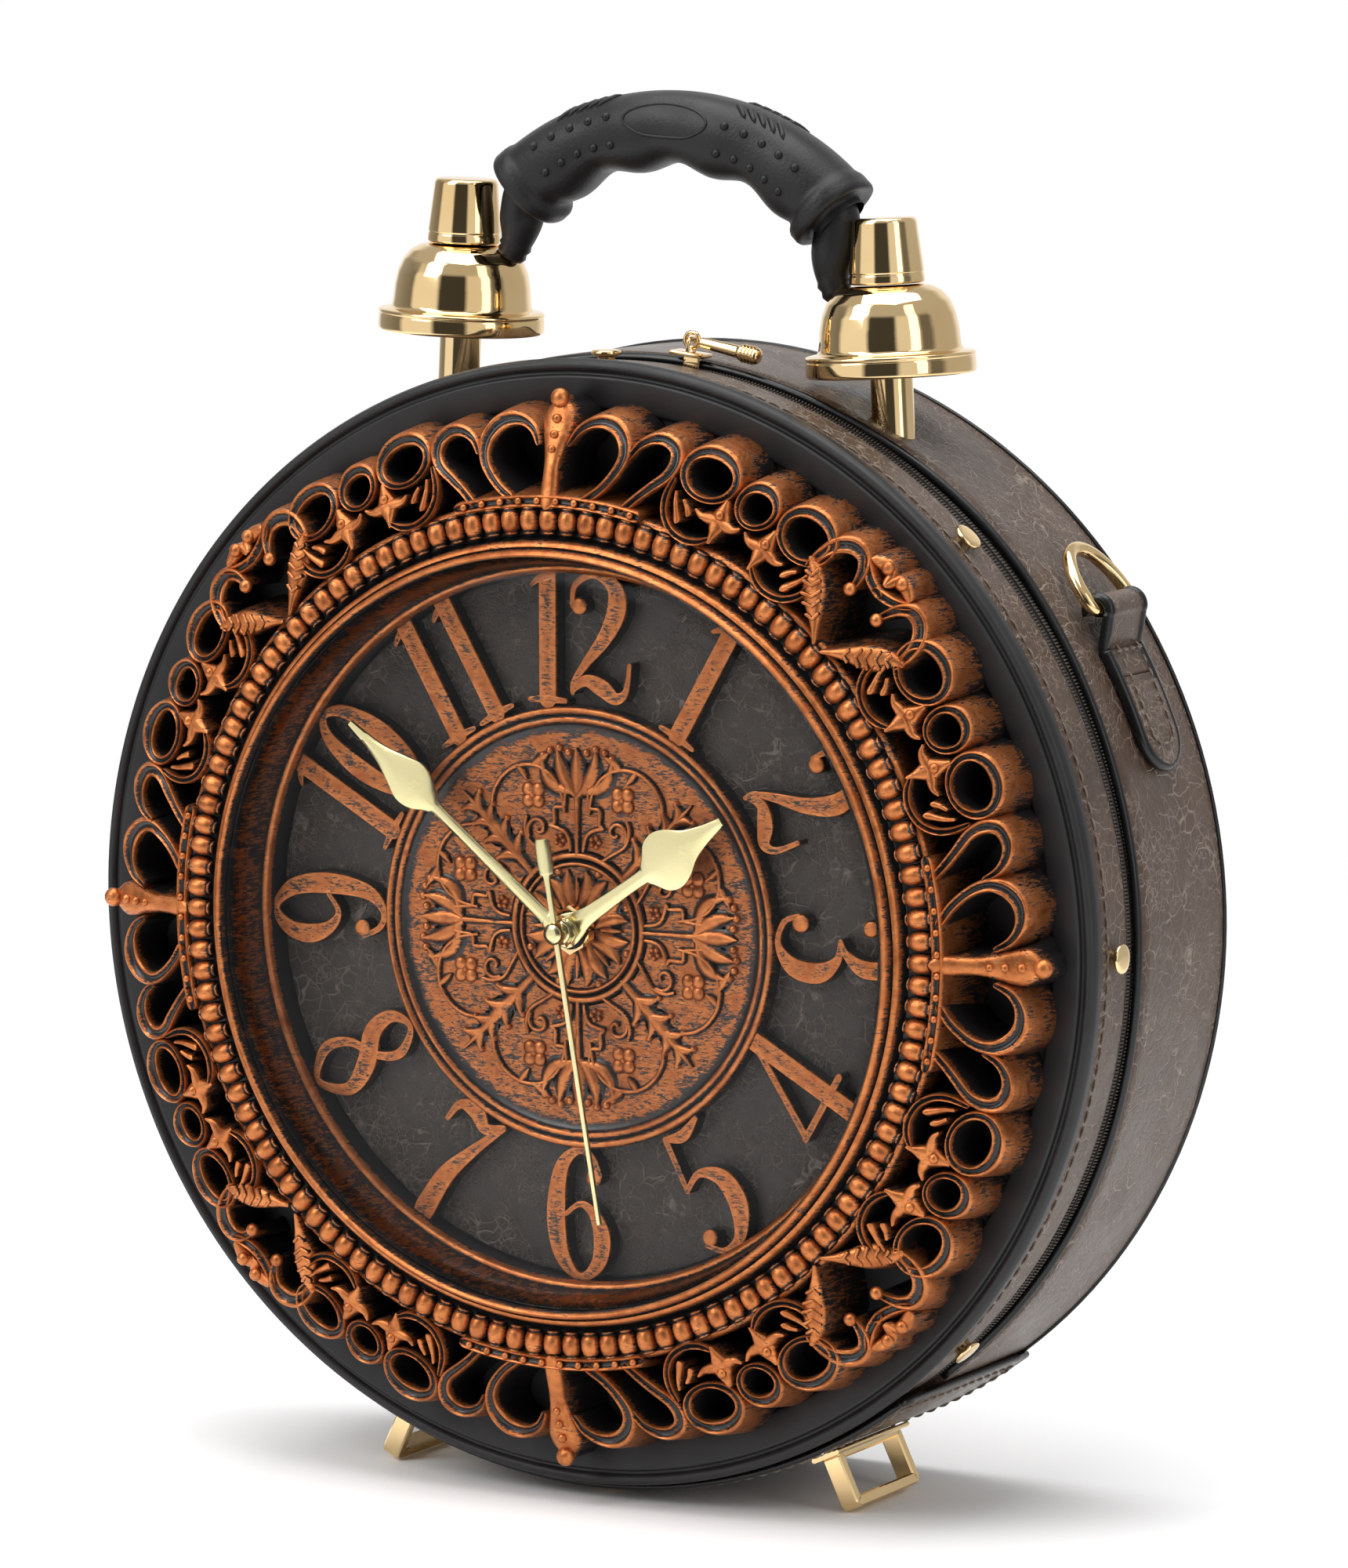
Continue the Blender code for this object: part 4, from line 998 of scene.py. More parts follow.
def make_slider(m):
    """Slider with its plates, wedge and arch, and the tag lying along the zip."""
    place = Matrix.Rotation(math.radians(SLIDER_CLOCK), 4, "Y")
    bm = bmesh.new()
    soft_box(bm, (-4.0, 17.4, 120.6), (4.0, 22.6, 121.55), 0.35, place)
    soft_box(bm, (-1.4, 19.72, 115.6), (2.4, 20.28, 121.0), 0.08, place)
    soft_box(bm, (-4.0, 17.6, 115.2), (4.0, 22.0, 116.2), 0.3, place)
    arch = [(18.5, 121.3), (18.5, 123.6), (19.1, 124.3), (20.9, 124.3), (21.5, 123.6), (21.5, 121.3)]
    arch = [Vector(row) for row in smooth_path([(0.0, y, z) for y, z in arch], 4)]
    tube(bm, [place @ p for p in arch], 0.42, 10)
    put("slider_body", bm, m["gold"], "slider", "zip_slider", 40)

    lean = Matrix.Rotation(math.radians(SLIDER_CLOCK + 4.0), 4, "Y")
    lean.translation = polar(PIN_R, SLIDER_CLOCK, 20.0)
    quarter = math.radians(90.0)
    lying = lean @ Matrix.Rotation(quarter, 4, "Y")
    tag = [(0.0, 1.9), (0.9, 2.0), (1.15, 2.4), (1.25, 7.0), (1.4, 11.4), (1.75, 11.9), (1.75, 15.9),
           (1.4, 16.4), (0.0, 16.5)]
    bm = bmesh.new()
    tube(bm, circle(1.62, 0.0, 28, lean @ Matrix.Rotation(quarter, 4, "X")), 0.5, 10, closed=True)
    lathe(rounded(tag, 0.3), 28, frame_matrix=lying, bm=bm)
    for i in range(4):
        tube(bm, circle(1.8, 12.7 + 0.8 * i, 24, lying), 0.22, 6, closed=True)
    put("pull_tag", bm, m["gold"], "pull", "zip_pull")


# ---- raised ribbons in antique copper -------------------------------------------------------
CHANNEL = [(1.30, None, 0.0), (1.20, 8.0, 0.2), (1.10, 3.0, 0.45), (1.02, 1.0, 0.75), (0.92, 0.25, 0.95),
           (0.74, 0.0, 1.0), (0.52, 0.15, 0.8), (0.32, 0.75, 0.30), (0.0, 0.95, 0.20)]
SINGLE = [(1.30, None, 0.0), (1.15, 6.0, 0.25), (1.05, 1.4, 0.6), (0.96, 0.75, 0.8), (0.70, 0.2, 1.0),
          (0.35, 0.0, 1.0), (0.0, -0.05, 1.0)]
FIGURE = [(1.06, None, 0.0), (1.03, 1.8, 0.1), (1.0, 0.5, 0.5), (0.92, 0.08, 1.0), (0.72, 0.0, 0.85),
          (0.0, 0.12, 0.66)]
VINE = [(2.0, None, 0.8), (1.3, None, 0.0), (0.95, 0.5, 0.6), (0.55, 0.08, 1.0), (0.0, 0.0, 1.0)]


def ribbon(bm, layer, rows, section, top, floor, closed=False, steps=4):
    """Band along (x, z, width) rows.

    section is half a cross-section from the foot up, as (share of the half width, depth, worn).
    top gives the y of the band's top at a radius; None as a depth stands for the floor's y.
    """
    rows = smooth_path(rows, steps, closed)
    if not closed:
        rows = round_end(round_end(rows[::-1])[::-1])
    count = len(rows)
    whole = [(-share, depth, worn) for share, depth, worn in section] + section[-2::-1]
    middle = Vector((sum(row[0] for row in rows) / count, sum(row[1] for row in rows) / count))
    rings = []
    for i, (x, z, width) in enumerate(rows):
        before, after = neighbours(rows, i, closed)
        run = Vector((after[0] - before[0], after[1] - before[1]))
        if run.length < 1e-6:
            run = Vector((1.0, 0.0))
        side = Vector((-run.y, run.x)).normalized()
        here = Vector((x, z))
        outward = side.dot(here) / max(here.length, 1e-6)
        ring = []
        for share, depth, worn in whole:
            facing = outward * math.copysign(1.0, share)
            if (here - middle).dot(side) * share < -0.3 * width * abs(share):
                facing = -abs(facing)
            y, drop, rubbed = wall(section, top(here.length), floor, depth, worn, facing, width)
            flare = math.copysign((0.11 if facing > 0.0 else 0.02) * drop, share) if share else 0.0
            spot = here + (0.5 * width * share + flare) * side
            vert = bm.verts.new((spot.x, y, spot.y))
            vert[layer] = rubbed
            ring.append(vert)
        rings.append(ring)
    join_rings(bm, rings, loop=False, wrap=closed)
    if not closed:
        bm.faces.new(rings[0])
        bm.faces.new(rings[-1][::-1])


def wall(section, crest, floor, depth, worn, facing, width):
    """A section point's y, how far down it flares the band, and how much copper it keeps."""
    if depth is None:
        y, drop = floor, floor - crest
    else:
        slim = min(1.0, width / 1.6) if depth < 1.5 else 1.0
        y, drop = min(floor, crest + depth * slim), max(0.0, depth)
    if section is FIGURE:
        drop = 0.0
    if section is not VINE and (depth is None or depth > 1.5):
        outer = facing > 0.0 and section is not FIGURE
        worn = max(0.0, worn + (0.45 * facing if outer else -0.5))
    return y, drop, worn


def round_end(rows):
    """Adds a rounded end after the last row."""
    (x0, z0, _), (x1, z1, width) = rows[-2], rows[-1]
    run = Vector((x1 - x0, z1 - z0)).normalized()
    extra = []
    for turn in (0.45, 0.85, 1.2, 1.5):
        reach = 0.5 * width * math.sin(turn)
        extra.append([x1 + reach * run.x, z1 + reach * run.y, max(0.05, width * math.cos(turn))])
    return rows + extra


def around(rows, base, side=1.0):
    """(clock off base, radius, width) rows as (x, z, width) rows."""
    made = []
    for clock, radius, width in rows:
        spot = polar(radius, base + side * clock)
        made.append((spot.x, spot.z, width))
    return made


def oval(clock, radius, half_clock, half_radius, top_width, side_width, low_width, count=20):
    """Closed ring as rows; its width changes from its outer side to its inner side."""
    rows = []
    for i in range(count):
        turn = math.tau * i / count
        c = math.cos(turn)
        width = side_width + ((top_width if c > 0.0 else low_width) - side_width) * c * c
        rows.append((clock + half_clock * math.sin(turn), radius + half_radius * c, width))
    return rows


# ---- the ornament round the clock -----------------------------------------------------------
PLATE_Y = 1.2
CROWNS = (0.0, 90.0, 180.0, 270.0)
CLUSTER = 27.65


def crest_y(radius):
    """y of the ornament's top, which dishes down towards its outside."""
    return -14.2 + (0.36 * (radius - 99.0) if radius > 99.0 else 0.23 * (radius - 99.0))


def boss(bm, layer, clock, radius, size, lift=0.0, worn=1.0, long=1.0):
    """Ball standing on the ornament's top."""
    spot = polar(radius, clock, crest_y(radius) + 0.3 * size - lift)
    ball(bm, spot, (size, size * 0.9, size * long), 7, 12, layer, worn)


def add_crown(bm, layer, base):
    """Sceptre between two hearts and two hooks, on a studded bar."""
    def strip(rows, section=CHANNEL, side=1.0):
        ribbon(bm, layer, around(rows, base, side), section, crest_y, PLATE_Y)

    sceptre = [(0.0, 91.5, 4.0), (0.0, 95.0, 3.7), (0.0, 99.0, 3.5), (0.0, 102.0, 4.6), (0.0, 105.0, 6.2),
               (0.0, 108.0, 7.0), (0.0, 110.0, 6.0), (0.0, 111.6, 3.4)]
    strip(sceptre, SINGLE)
    for radius, size in ((102.0, 0.85), (105.0, 0.95), (108.2, 1.05)):
        boss(bm, layer, base, radius, size, 0.5)
    boss(bm, layer, base, 112.4, 2.1, 0.9)
    heart = [(5.6, 92.2, 2.0), (7.5, 95.0, 2.1), (9.0, 99.0, 2.3), (9.4, 102.5, 2.8), (8.8, 105.5, 3.4),
             (7.4, 107.7, 3.6), (5.8, 108.3, 3.2), (4.2, 107.6, 2.4), (2.9, 105.8, 1.9), (2.1, 103.2, 1.2)]
    hook = [(11.4, 92.2, 1.9), (12.7, 95.0, 2.0), (14.2, 98.0, 2.2), (15.6, 101.0, 2.5),
            (16.0, 104.0, 2.9), (15.4, 106.6, 3.2), (13.8, 107.7, 3.0), (12.2, 107.0, 2.4),
            (10.9, 105.0, 1.8), (10.2, 102.4, 1.3)]
    for side in (1.0, -1.0):
        strip(heart, side=side)
        strip(hook, side=side)
    strip([(-13.3 + 26.6 * i / 12, 91.2, 2.6) for i in range(13)])
    for i in range(10):
        boss(bm, layer, base - 12.6 + 2.8 * i, 91.3, 0.78, 0.15)


def add_cluster(bm, layer, base, side):
    """Three rings over two pointed leaves, held by a pair of scrolls."""
    def strip(rows, section=CHANNEL, hand=1.0, closed=False):
        rows = around(rows, base, side * hand)
        ribbon(bm, layer, rows, section, crest_y, PLATE_Y, closed)

    strip(oval(0.0, 103.3, 2.35, 4.0, 2.9, 1.6, 1.1), closed=True)
    scroll = [(11.0, 101.0, 1.0), (11.2, 97.4, 1.6), (10.7, 94.2, 1.6), (9.2, 91.6, 1.6), (6.9, 90.6, 1.6),
              (4.9, 91.3, 1.6), (3.6, 92.9, 1.0)]
    for hand in (1.0, -1.0):
        strip(oval(6.95, 104.3, 3.35, 4.75, 3.1, 2.0, 1.3, 24), hand=hand, closed=True)
        strip([(3.55, 101.0, 1.4), (3.5, 99.0, 3.2), (3.45, 97.2, 4.6), (3.4, 95.6, 3.4), (3.35, 94.0, 1.8),
               (3.3, 92.6, 0.7)], SINGLE, hand)
        strip([(3.2, 96.9, 2.4), (2.0, 96.7, 2.2), (1.1, 97.0, 1.5), (0.5, 97.9, 0.7)], SINGLE, hand)
        strip([(3.6, 96.9, 2.4), (4.8, 96.6, 2.2), (5.8, 96.5, 1.5), (6.6, 97.2, 0.7)], SINGLE, hand)
        boss(bm, layer, base + side * hand * 3.5, 98.4, 1.15, 0.2)
        strip(scroll, hand=hand)
        strip([(10.0, 98.8, 0.7), (9.7, 97.0, 0.9), (9.1, 95.0, 1.3), (8.7, 93.8, 1.7)], SINGLE, hand)
        strip([(8.6, 97.8, 0.7), (8.0, 96.8, 1.0), (7.6, 95.8, 1.4)], SINGLE, hand)


def add_diagonal(bm, layer, base, side):
    """Half of the leafy motif between two clusters: scrolls, buds and a ribbed horn."""
    def strip(rows, section=SINGLE):
        ribbon(bm, layer, around(rows, base, side), section, crest_y, PLATE_Y)

    strip([(8.0, 101.0, 2.0), (7.8, 104.0, 2.6), (7.0, 107.2, 3.4), (5.6, 109.1, 3.8), (4.1, 109.1, 3.4),
           (3.1, 107.4, 2.6), (2.6, 105.2, 1.8), (2.4, 103.8, 1.5)], CHANNEL)
    boss(bm, layer, base + side * 2.4, 103.0, 1.45, 0.4)
    strip([(3.6, 109.6, 1.6), (2.6, 108.0, 2.2), (1.4, 106.9, 2.4), (0.0, 106.4, 2.4)], CHANNEL)
    strip([(2.6, 110.4, 2.4), (1.5, 110.9, 3.0), (0.5, 110.5, 2.4), (0.2, 109.2, 2.0)])
    boss(bm, layer, base + side * 1.15, 111.1, 1.5, 0.3)
    horn = [(8.2, 101.6, 1.8), (7.0, 100.2, 3.4), (6.1, 98.2, 5.0), (4.9, 96.2, 4.8), (3.5, 94.2, 3.2),
            (2.0, 92.0, 1.6), (0.9, 90.4, 0.8)]
    strip(horn)
    path = smooth_path(around(horn, base, side), 6)
    for i in range(5):
        index = int((0.16 + 0.13 * i) * (len(path) - 1))
        x, z, width = path[index]
        run = Vector((path[index + 3][0] - x, path[index + 3][1] - z)).normalized()
        cross = Vector((-run.y, run.x))
        rows = []
        for t in (-1.0, -0.5, 0.0, 0.5, 1.0):
            spot = Vector((x, z)) + 0.36 * width * t * cross + 0.9 * (1.0 - abs(t)) * run
            rows.append((spot.x, spot.y, 0.75))
        ribbon(bm, layer, rows, VINE[1:], lambda r: crest_y(r) - 0.55, crest_y(98.0) + 0.8, steps=2)


def make_ornament(m):
    """Four crowns with a cluster on each side, and a leafy motif on each diagonal."""
    bm = bmesh.new()
    layer = bm.verts.layers.float.new("patina")
    for base in CROWNS:
        add_crown(bm, layer, base)
        for side in (1.0, -1.0):
            add_cluster(bm, layer, base + side * CLUSTER, side)
            add_diagonal(bm, layer, base + 45.0, side)
    put("filigree", bm, m["copper"], "door", "ornament_ring", 60)


def make_bezel(m):
    """Stepped ring from the ornament's inner wall down to the dial, as (radius, y, worn)."""
    profile = [(91.1, 0.9, 0.5), (91.1, -6.0, 0.55), (91.1, -13.2, 0.6), (90.7, -14.2, 0.85),
               (90.0, -14.5, 0.8), (89.5, -13.9, 0.1), (87.2, -13.6, 0.0), (84.7, -13.9, 0.0),
               (84.2, -14.3, 0.05), (83.7, -13.6, 0.0), (83.3, -14.2, 0.1), (82.9, -15.9, 0.8),
               (82.3, -16.7, 1.0), (81.8, -16.8, 0.9), (81.45, -16.5, 0.15), (81.2, -17.6, 0.6),
               (80.8, -18.7, 1.0), (80.3, -19.0, 1.0), (79.85, -18.7, 0.9), (79.7, -18.0, 0.5),
               (79.65, -15.3, 0.2), (78.7, -14.8, 0.5), (78.3, -13.8, 0.62), (77.9, -10.0, 0.60),
               (77.4, -6.8, 0.50), (76.9, -6.0, 0.25), (76.5, -6.1, 0.95), (75.9, -5.8, 1.0),
               (75.3, -4.9, 0.8), (75.2, -4.2, 0.2), (75.2, 0.9, 0.0)]
    bm = lathe([(r, y) for r, y, _ in profile], closed=True)
    layer = bm.verts.layers.float.new("patina")
    levels = {(round(r, 2), round(y, 2)): worn for r, y, worn in profile}
    for vert in bm.verts:
        vert[layer] = levels[(round(math.hypot(vert.co.x, vert.co.z), 2), round(vert.co.y, 2))]
    put("bezel_ring", bm, m["copper"], "door", "bezel", 50)
    make_beads(m)


def make_beads(m):
    """Turned beads side by side in the bezel's groove, each on a radial axis."""
    half = [(3.0, 0.9, 0.1), (2.9, 1.35, 0.4), (2.65, 1.5, 0.9), (2.45, 1.45, 0.6), (2.35, 1.25, 0.1),
            (2.2, 1.5, 0.4), (1.8, 1.85, 0.9), (0.9, 2.14, 1.0)]
    section = [(-reach, size, worn) for reach, size, worn in half] + [(0.0, 2.2, 1.0)] + half[::-1]
    bm = bmesh.new()
    layer = bm.verts.layers.float.new("patina")
    count = 120
    for i in range(count):
        clock = 360.0 * i / count
        out, along = polar(1.0, clock), polar(1.0, clock + 90.0)
        centre = polar(87.2, clock, -14.3)
        rings = []
        for reach, size, worn in section:
            ring = []
            for k in range(11):
                turn = math.pi * (k - 1) / 8
                side, rise = math.cos(turn), math.sin(turn)
                spot = centre + reach * out + size * side * along - 1.12 * size * rise * BACKWARD
                vert = bm.verts.new(spot)
                vert[layer] = worn * min(1.0, 0.30 + 1.1 * max(0.0, rise))
                ring.append(vert)
            rings.append(ring)
        join_rings(bm, rings, caps=True)
    put("bead_row", bm, m["copper"], "door")


# ---- numbers, medallion, hands, window ------------------------------------------------------
NUMBER_R = 61.4
NUMBER_Y = -3.6
DIAL_Y = 0.1
STROKES = {
    "1": [[(0, 1.0, 4.0), (0, 13.0, 4.0), (0, 25.5, 4.0)],
          [(-3.8, 0.6, 1.0), (0, 0.8, 1.6), (3.8, 0.6, 1.0)],
          [(0, 24.8, 1.8), (-2.0, 24.2, 1.4), (-3.4, 23.0, 0.8)]],
    "2": [[(-5.2, 19.4, 1.0), (-4.6, 23.4, 1.3), (-0.6, 25.7, 1.7), (3.4, 23.8, 3.2), (4.4, 19.5, 4.4),
           (2.0, 13.8, 3.4), (-2.4, 8.2, 1.9), (-5.0, 4.4, 1.2), (-5.2, 2.4, 1.0)],
          [(-5.2, 2.8, 1.0), (-2.5, 4.8, 2.4), (1.0, 3.6, 3.6), (4.0, 1.6, 2.6), (6.2, 3.2, 1.4),
           (7.0, 8.2, 1.0)]],
    "3": [[(-4.8, 21.3, 1.0), (-3.2, 24.6, 1.3), (0.3, 25.8, 1.6), (3.4, 23.4, 3.4), (3.6, 19.0, 3.6),
           (1.2, 15.4, 1.7), (-1.2, 14.2, 1.0)],
          [(-1.2, 14.2, 1.0), (2.4, 13.4, 1.9), (5.0, 9.4, 4.2), (4.2, 3.8, 3.8), (0.2, 0.6, 1.5),
           (-4.0, 1.8, 1.2), (-5.4, 5.0, 1.0)]],
    "4": [[(2.6, 0.5, 4.0), (2.6, 13.0, 4.0), (2.6, 26.0, 4.0)],
          [(2.2, 25.8, 1.3), (-2.3, 16.7, 1.4), (-6.8, 7.6, 1.5)],
          [(-7.2, 7.4, 1.5), (0.0, 7.4, 1.5), (6.8, 7.4, 1.5)],
          [(-1.0, 0.6, 1.1), (2.6, 0.6, 1.2), (6.2, 0.6, 1.1)]],
    "5": [[(-3.2, 25.2, 1.1), (0.5, 24.2, 2.6), (4.6, 26.0, 1.1)],
          [(-3.2, 25.0, 1.3), (-3.5, 19.6, 1.2), (-3.8, 14.2, 1.1)],
          [(-3.8, 14.4, 1.1), (0.2, 16.2, 1.7), (4.2, 13.2, 3.8), (4.8, 7.2, 4.4), (2.0, 1.6, 2.6),
           (-2.2, 0.6, 1.3), (-5.2, 3.2, 1.1)]],
    "6": [[(4.6, 21.2, 1.0), (2.8, 24.8, 1.3), (-0.4, 25.7, 1.7), (-3.8, 22.0, 3.2), (-5.0, 13.0, 4.4),
           (-3.8, 4.8, 3.6), (0.2, 0.6, 1.7), (4.0, 3.4, 3.2), (5.0, 8.6, 4.0), (3.4, 13.2, 2.6),
           (0.4, 15.2, 1.3), (-2.8, 13.0, 1.0)]],
    "7": [[(-5.6, 20.4, 1.1), (-4.6, 24.4, 1.9), (-1.0, 25.2, 3.6), (2.4, 23.4, 2.6), (5.6, 25.8, 1.3)],
          [(5.6, 25.6, 1.3), (2.2, 18.0, 2.4), (-0.6, 10.0, 4.0), (-1.2, 1.4, 4.8)]],
    "8": [[(0.2, 25.6, 1.4), (-3.4, 22.6, 2.6), (-2.6, 17.2, 4.0), (2.2, 12.4, 4.4), (4.6, 6.2, 2.8),
           (0.2, 0.7, 1.4), (-4.4, 5.4, 2.4), (-3.2, 11.2, 1.9), (1.8, 15.8, 1.7), (3.6, 21.0, 2.1)]],
    "0": [[(0.0, 25.3, 1.5), (3.2, 22.0, 2.8), (4.4, 13.0, 4.2), (3.2, 4.0, 2.8), (0.0, 0.7, 1.5),
           (-3.2, 4.0, 2.8), (-4.4, 13.0, 4.2), (-3.2, 22.0, 2.8)]],
}
CLOSED_DIGITS = "80"
BALLS = {"2": [(-3.9, 19.3, 1.9)], "3": [(-3.9, 20.6, 1.8), (-4.0, 5.4, 2.0)], "5": [(-4.0, 4.2, 1.9)],
         "6": [(3.2, 20.6, 1.9)]}
NUMBERS = {hour: [(str(hour), 0.0)] for hour in range(1, 10)}
NUMBERS.update({10: [("1", -6.5), ("0", 4.5)], 11: [("1", -5.0), ("1", 5.0)], 12: [("1", -6.4), ("2", 4.6)]})
WIDER = 1.12                     # the numbers' width against the strokes above
TALLER = 1.08                    # their height, spacing and line widths


def add_button(bm, layer, x, z, size):
    """Round end of a number's stroke."""
    disc = Matrix.Translation((x, 0.0, z)) @ Matrix.Rotation(math.radians(90.0), 4, "X")
    profile = [(0.0, -NUMBER_Y), (size - 0.5, -NUMBER_Y), (size - 0.1, -NUMBER_Y - 0.2),
               (size, -NUMBER_Y - 0.6), (size * 1.04, -DIAL_Y)]
    start = len(bm.verts)
    lathe(profile, 20, frame_matrix=disc, bm=bm)
    bm.verts.ensure_lookup_table()
    for vert in bm.verts[start:]:
        vert[layer] = 0.95 if vert.co.y < NUMBER_Y + 0.4 else 0.35


def make_numbers(m):
    """Raised numbers standing radially; those from four to eight are turned to read upright."""
    bm = bmesh.new()
    layer = bm.verts.layers.float.new("patina")
    for hour, digits in NUMBERS.items():
        out, along = polar(1.0, 30.0 * hour), polar(1.0, 30.0 * hour + 90.0)
        upright = -1.0 if 4 <= hour <= 8 else 1.0
        for digit, offset in digits:
            flip = -1.0 if digit == "9" else 1.0
            shape = "6" if digit == "9" else digit

            def place(u, v):
                across = upright * (WIDER * flip * u + TALLER * offset)
                spot = (NUMBER_R + TALLER * upright * flip * (v - 13.0)) * out + across * along
                return spot.x, spot.z

            for stroke in STROKES[shape]:
                rows = [(*place(u, v), TALLER * width) for u, v, width in stroke]
                ribbon(bm, layer, rows, FIGURE, lambda r: NUMBER_Y, DIAL_Y, shape in CLOSED_DIGITS, 6)
            for u, v, size in BALLS.get(shape, []):
                add_button(bm, layer, *place(u, v), size)
    put("hour_numbers", bm, m["copper"], "door", "numeral_ring", 50)


FIELD_Y = -2.8
MOTIF_Y = -3.9


def leaf(bm, layer, start, end, width, bend=0.0, lobes=0):
    """Pointed leaf from start to end in (x, z), with a bend to one side."""
    a, b = Vector(start), Vector(end)
    side = Vector((-(b - a).y, (b - a).x)).normalized()
    rows = []
    count = 7
    for i in range(count):
        t = i / (count - 1)
        spot = a.lerp(b, t) + bend * math.sin(math.pi * t) * side
        swell = math.sin(math.pi * min(1.0, 0.12 + 0.88 * t)) ** 0.7
        wave = 1.0 + (0.22 * math.cos(math.tau * lobes * t) if lobes else 0.0)
        rows.append((spot.x, spot.y, max(0.25, width * swell * wave)))
    ribbon(bm, layer, rows, VINE, lambda r: MOTIF_Y, FIELD_Y - 0.05, steps=3)


def add_quarter(bm, layer, turn):
    """A quarter of the medallion's relief, about one of its four axes."""
    c, s = math.cos(turn), math.sin(turn)

    def to(x, z):
        return c * x + s * z, c * z - s * x

    def strip(rows, hand=1.0, steps=3):
        rows = [(*to(hand * x, z), width) for x, z, width in rows]
        ribbon(bm, layer, rows, VINE, lambda r: MOTIF_Y, FIELD_Y - 0.04, steps=steps)

    def dot(x, z, size):
        px, pz = to(x, z)
        ball(bm, (px, FIELD_Y - 0.25, pz), (size, 0.9, size), 6, 10, layer, 1.0)

    strip([(0.0, 16.0, 0.9), (0.0, 22.0, 0.9), (0.0, 28.5, 1.3)], steps=4)
    leaf(bm, layer, to(0.0, 28.6), to(0.0, 38.2), 3.0)
    for hand in (1.0, -1.0):
        strip([(6.0, 21.8, 0.8), (5.4, 22.2, 0.8), (5.5, 24.2, 0.9), (5.3, 25.4, 0.8), (3.3, 25.6, 0.8),
               (2.9, 27.0, 0.7), (2.6, 30.0, 0.7)], hand)
        strip([(1.6, 16.6, 0.7), (2.0, 19.0, 0.8), (3.4, 20.6, 0.8), (6.2, 21.4, 0.9)], hand)
        strip([(3.0, 24.5, 0.6), (3.8, 28.5, 0.7), (6.0, 32.0, 0.7), (10.0, 34.0, 0.8), (14.6, 33.6, 0.8),
               (18.2, 31.2, 0.8), (20.2, 28.0, 0.8), (20.6, 25.8, 0.7)], hand, 4)
        leaf(bm, layer, to(hand * 10.6, 34.2), to(hand * 6.8, 36.6), 1.7)
        leaf(bm, layer, to(hand * 14.4, 33.8), to(hand * 12.0, 31.0), 1.4)
        for x0, z0, x1, z1, w, b in ((0.8, 28.5, 4.6, 37.6, 2.8, -1.0), (1.4, 28.8, 8.6, 35.9, 2.5, -2.3)):
            leaf(bm, layer, to(hand * x0, z0), to(hand * x1, z1), w, hand * b)
        for x, z in ((2.2, 37.2), (4.4, 38.0), (6.6, 37.4), (8.3, 36.2), (9.4, 34.6)):
            dot(hand * x, z, 0.95)
        for i in range(4):
            angle = math.tau * (i + 0.5) / 4
            dot(hand * 10.8 + 1.75 * math.cos(angle), 27.6 + 1.75 * math.sin(angle), 1.6)
        dot(hand * 10.8, 27.6, 0.7)
        for i in range(5):
            angle = math.tau * i / 5
            dot(hand * 4.3 + 1.0 * math.cos(angle), 18.4 + 1.0 * math.sin(angle), 0.62)
        spiral = []
        for i in range(12):
            angle = -0.6 + 0.52 * i
            size = 2.7 * (1.0 - i / 14.0)
            spiral.append((9.4 + size * math.cos(angle), 20.6 + size * math.sin(angle), 0.75))
        strip(spiral, hand)
        strip([(6.2, 14.6, 0.6), (8.8, 16.2, 0.8), (11.6, 18.0, 0.8), (12.6, 21.0, 0.8), (12.2, 23.0, 0.7)],
              hand)
    diagonal = math.sqrt(0.5)
    near = 15.6 * diagonal
    for width, reach in ((2.6, 39.0), (1.6, 28.0)):
        far = reach * diagonal
        leaf(bm, layer, to(near, near), to(far, far), width, 0.0, 2)
    for along in (20.0, 24.5, 29.0, 33.0):
        size = 6.4 - 0.11 * along
        for hand in (1.0, -1.0):
            root = (along * diagonal, along * diagonal)
            tip = ((along + 3.4 + hand * size) * diagonal, (along + 3.4 - hand * size) * diagonal)
            leaf(bm, layer, to(*root), to(*tip), 2.0, hand * 0.7)
            dot(tip[0], tip[1], 0.75)


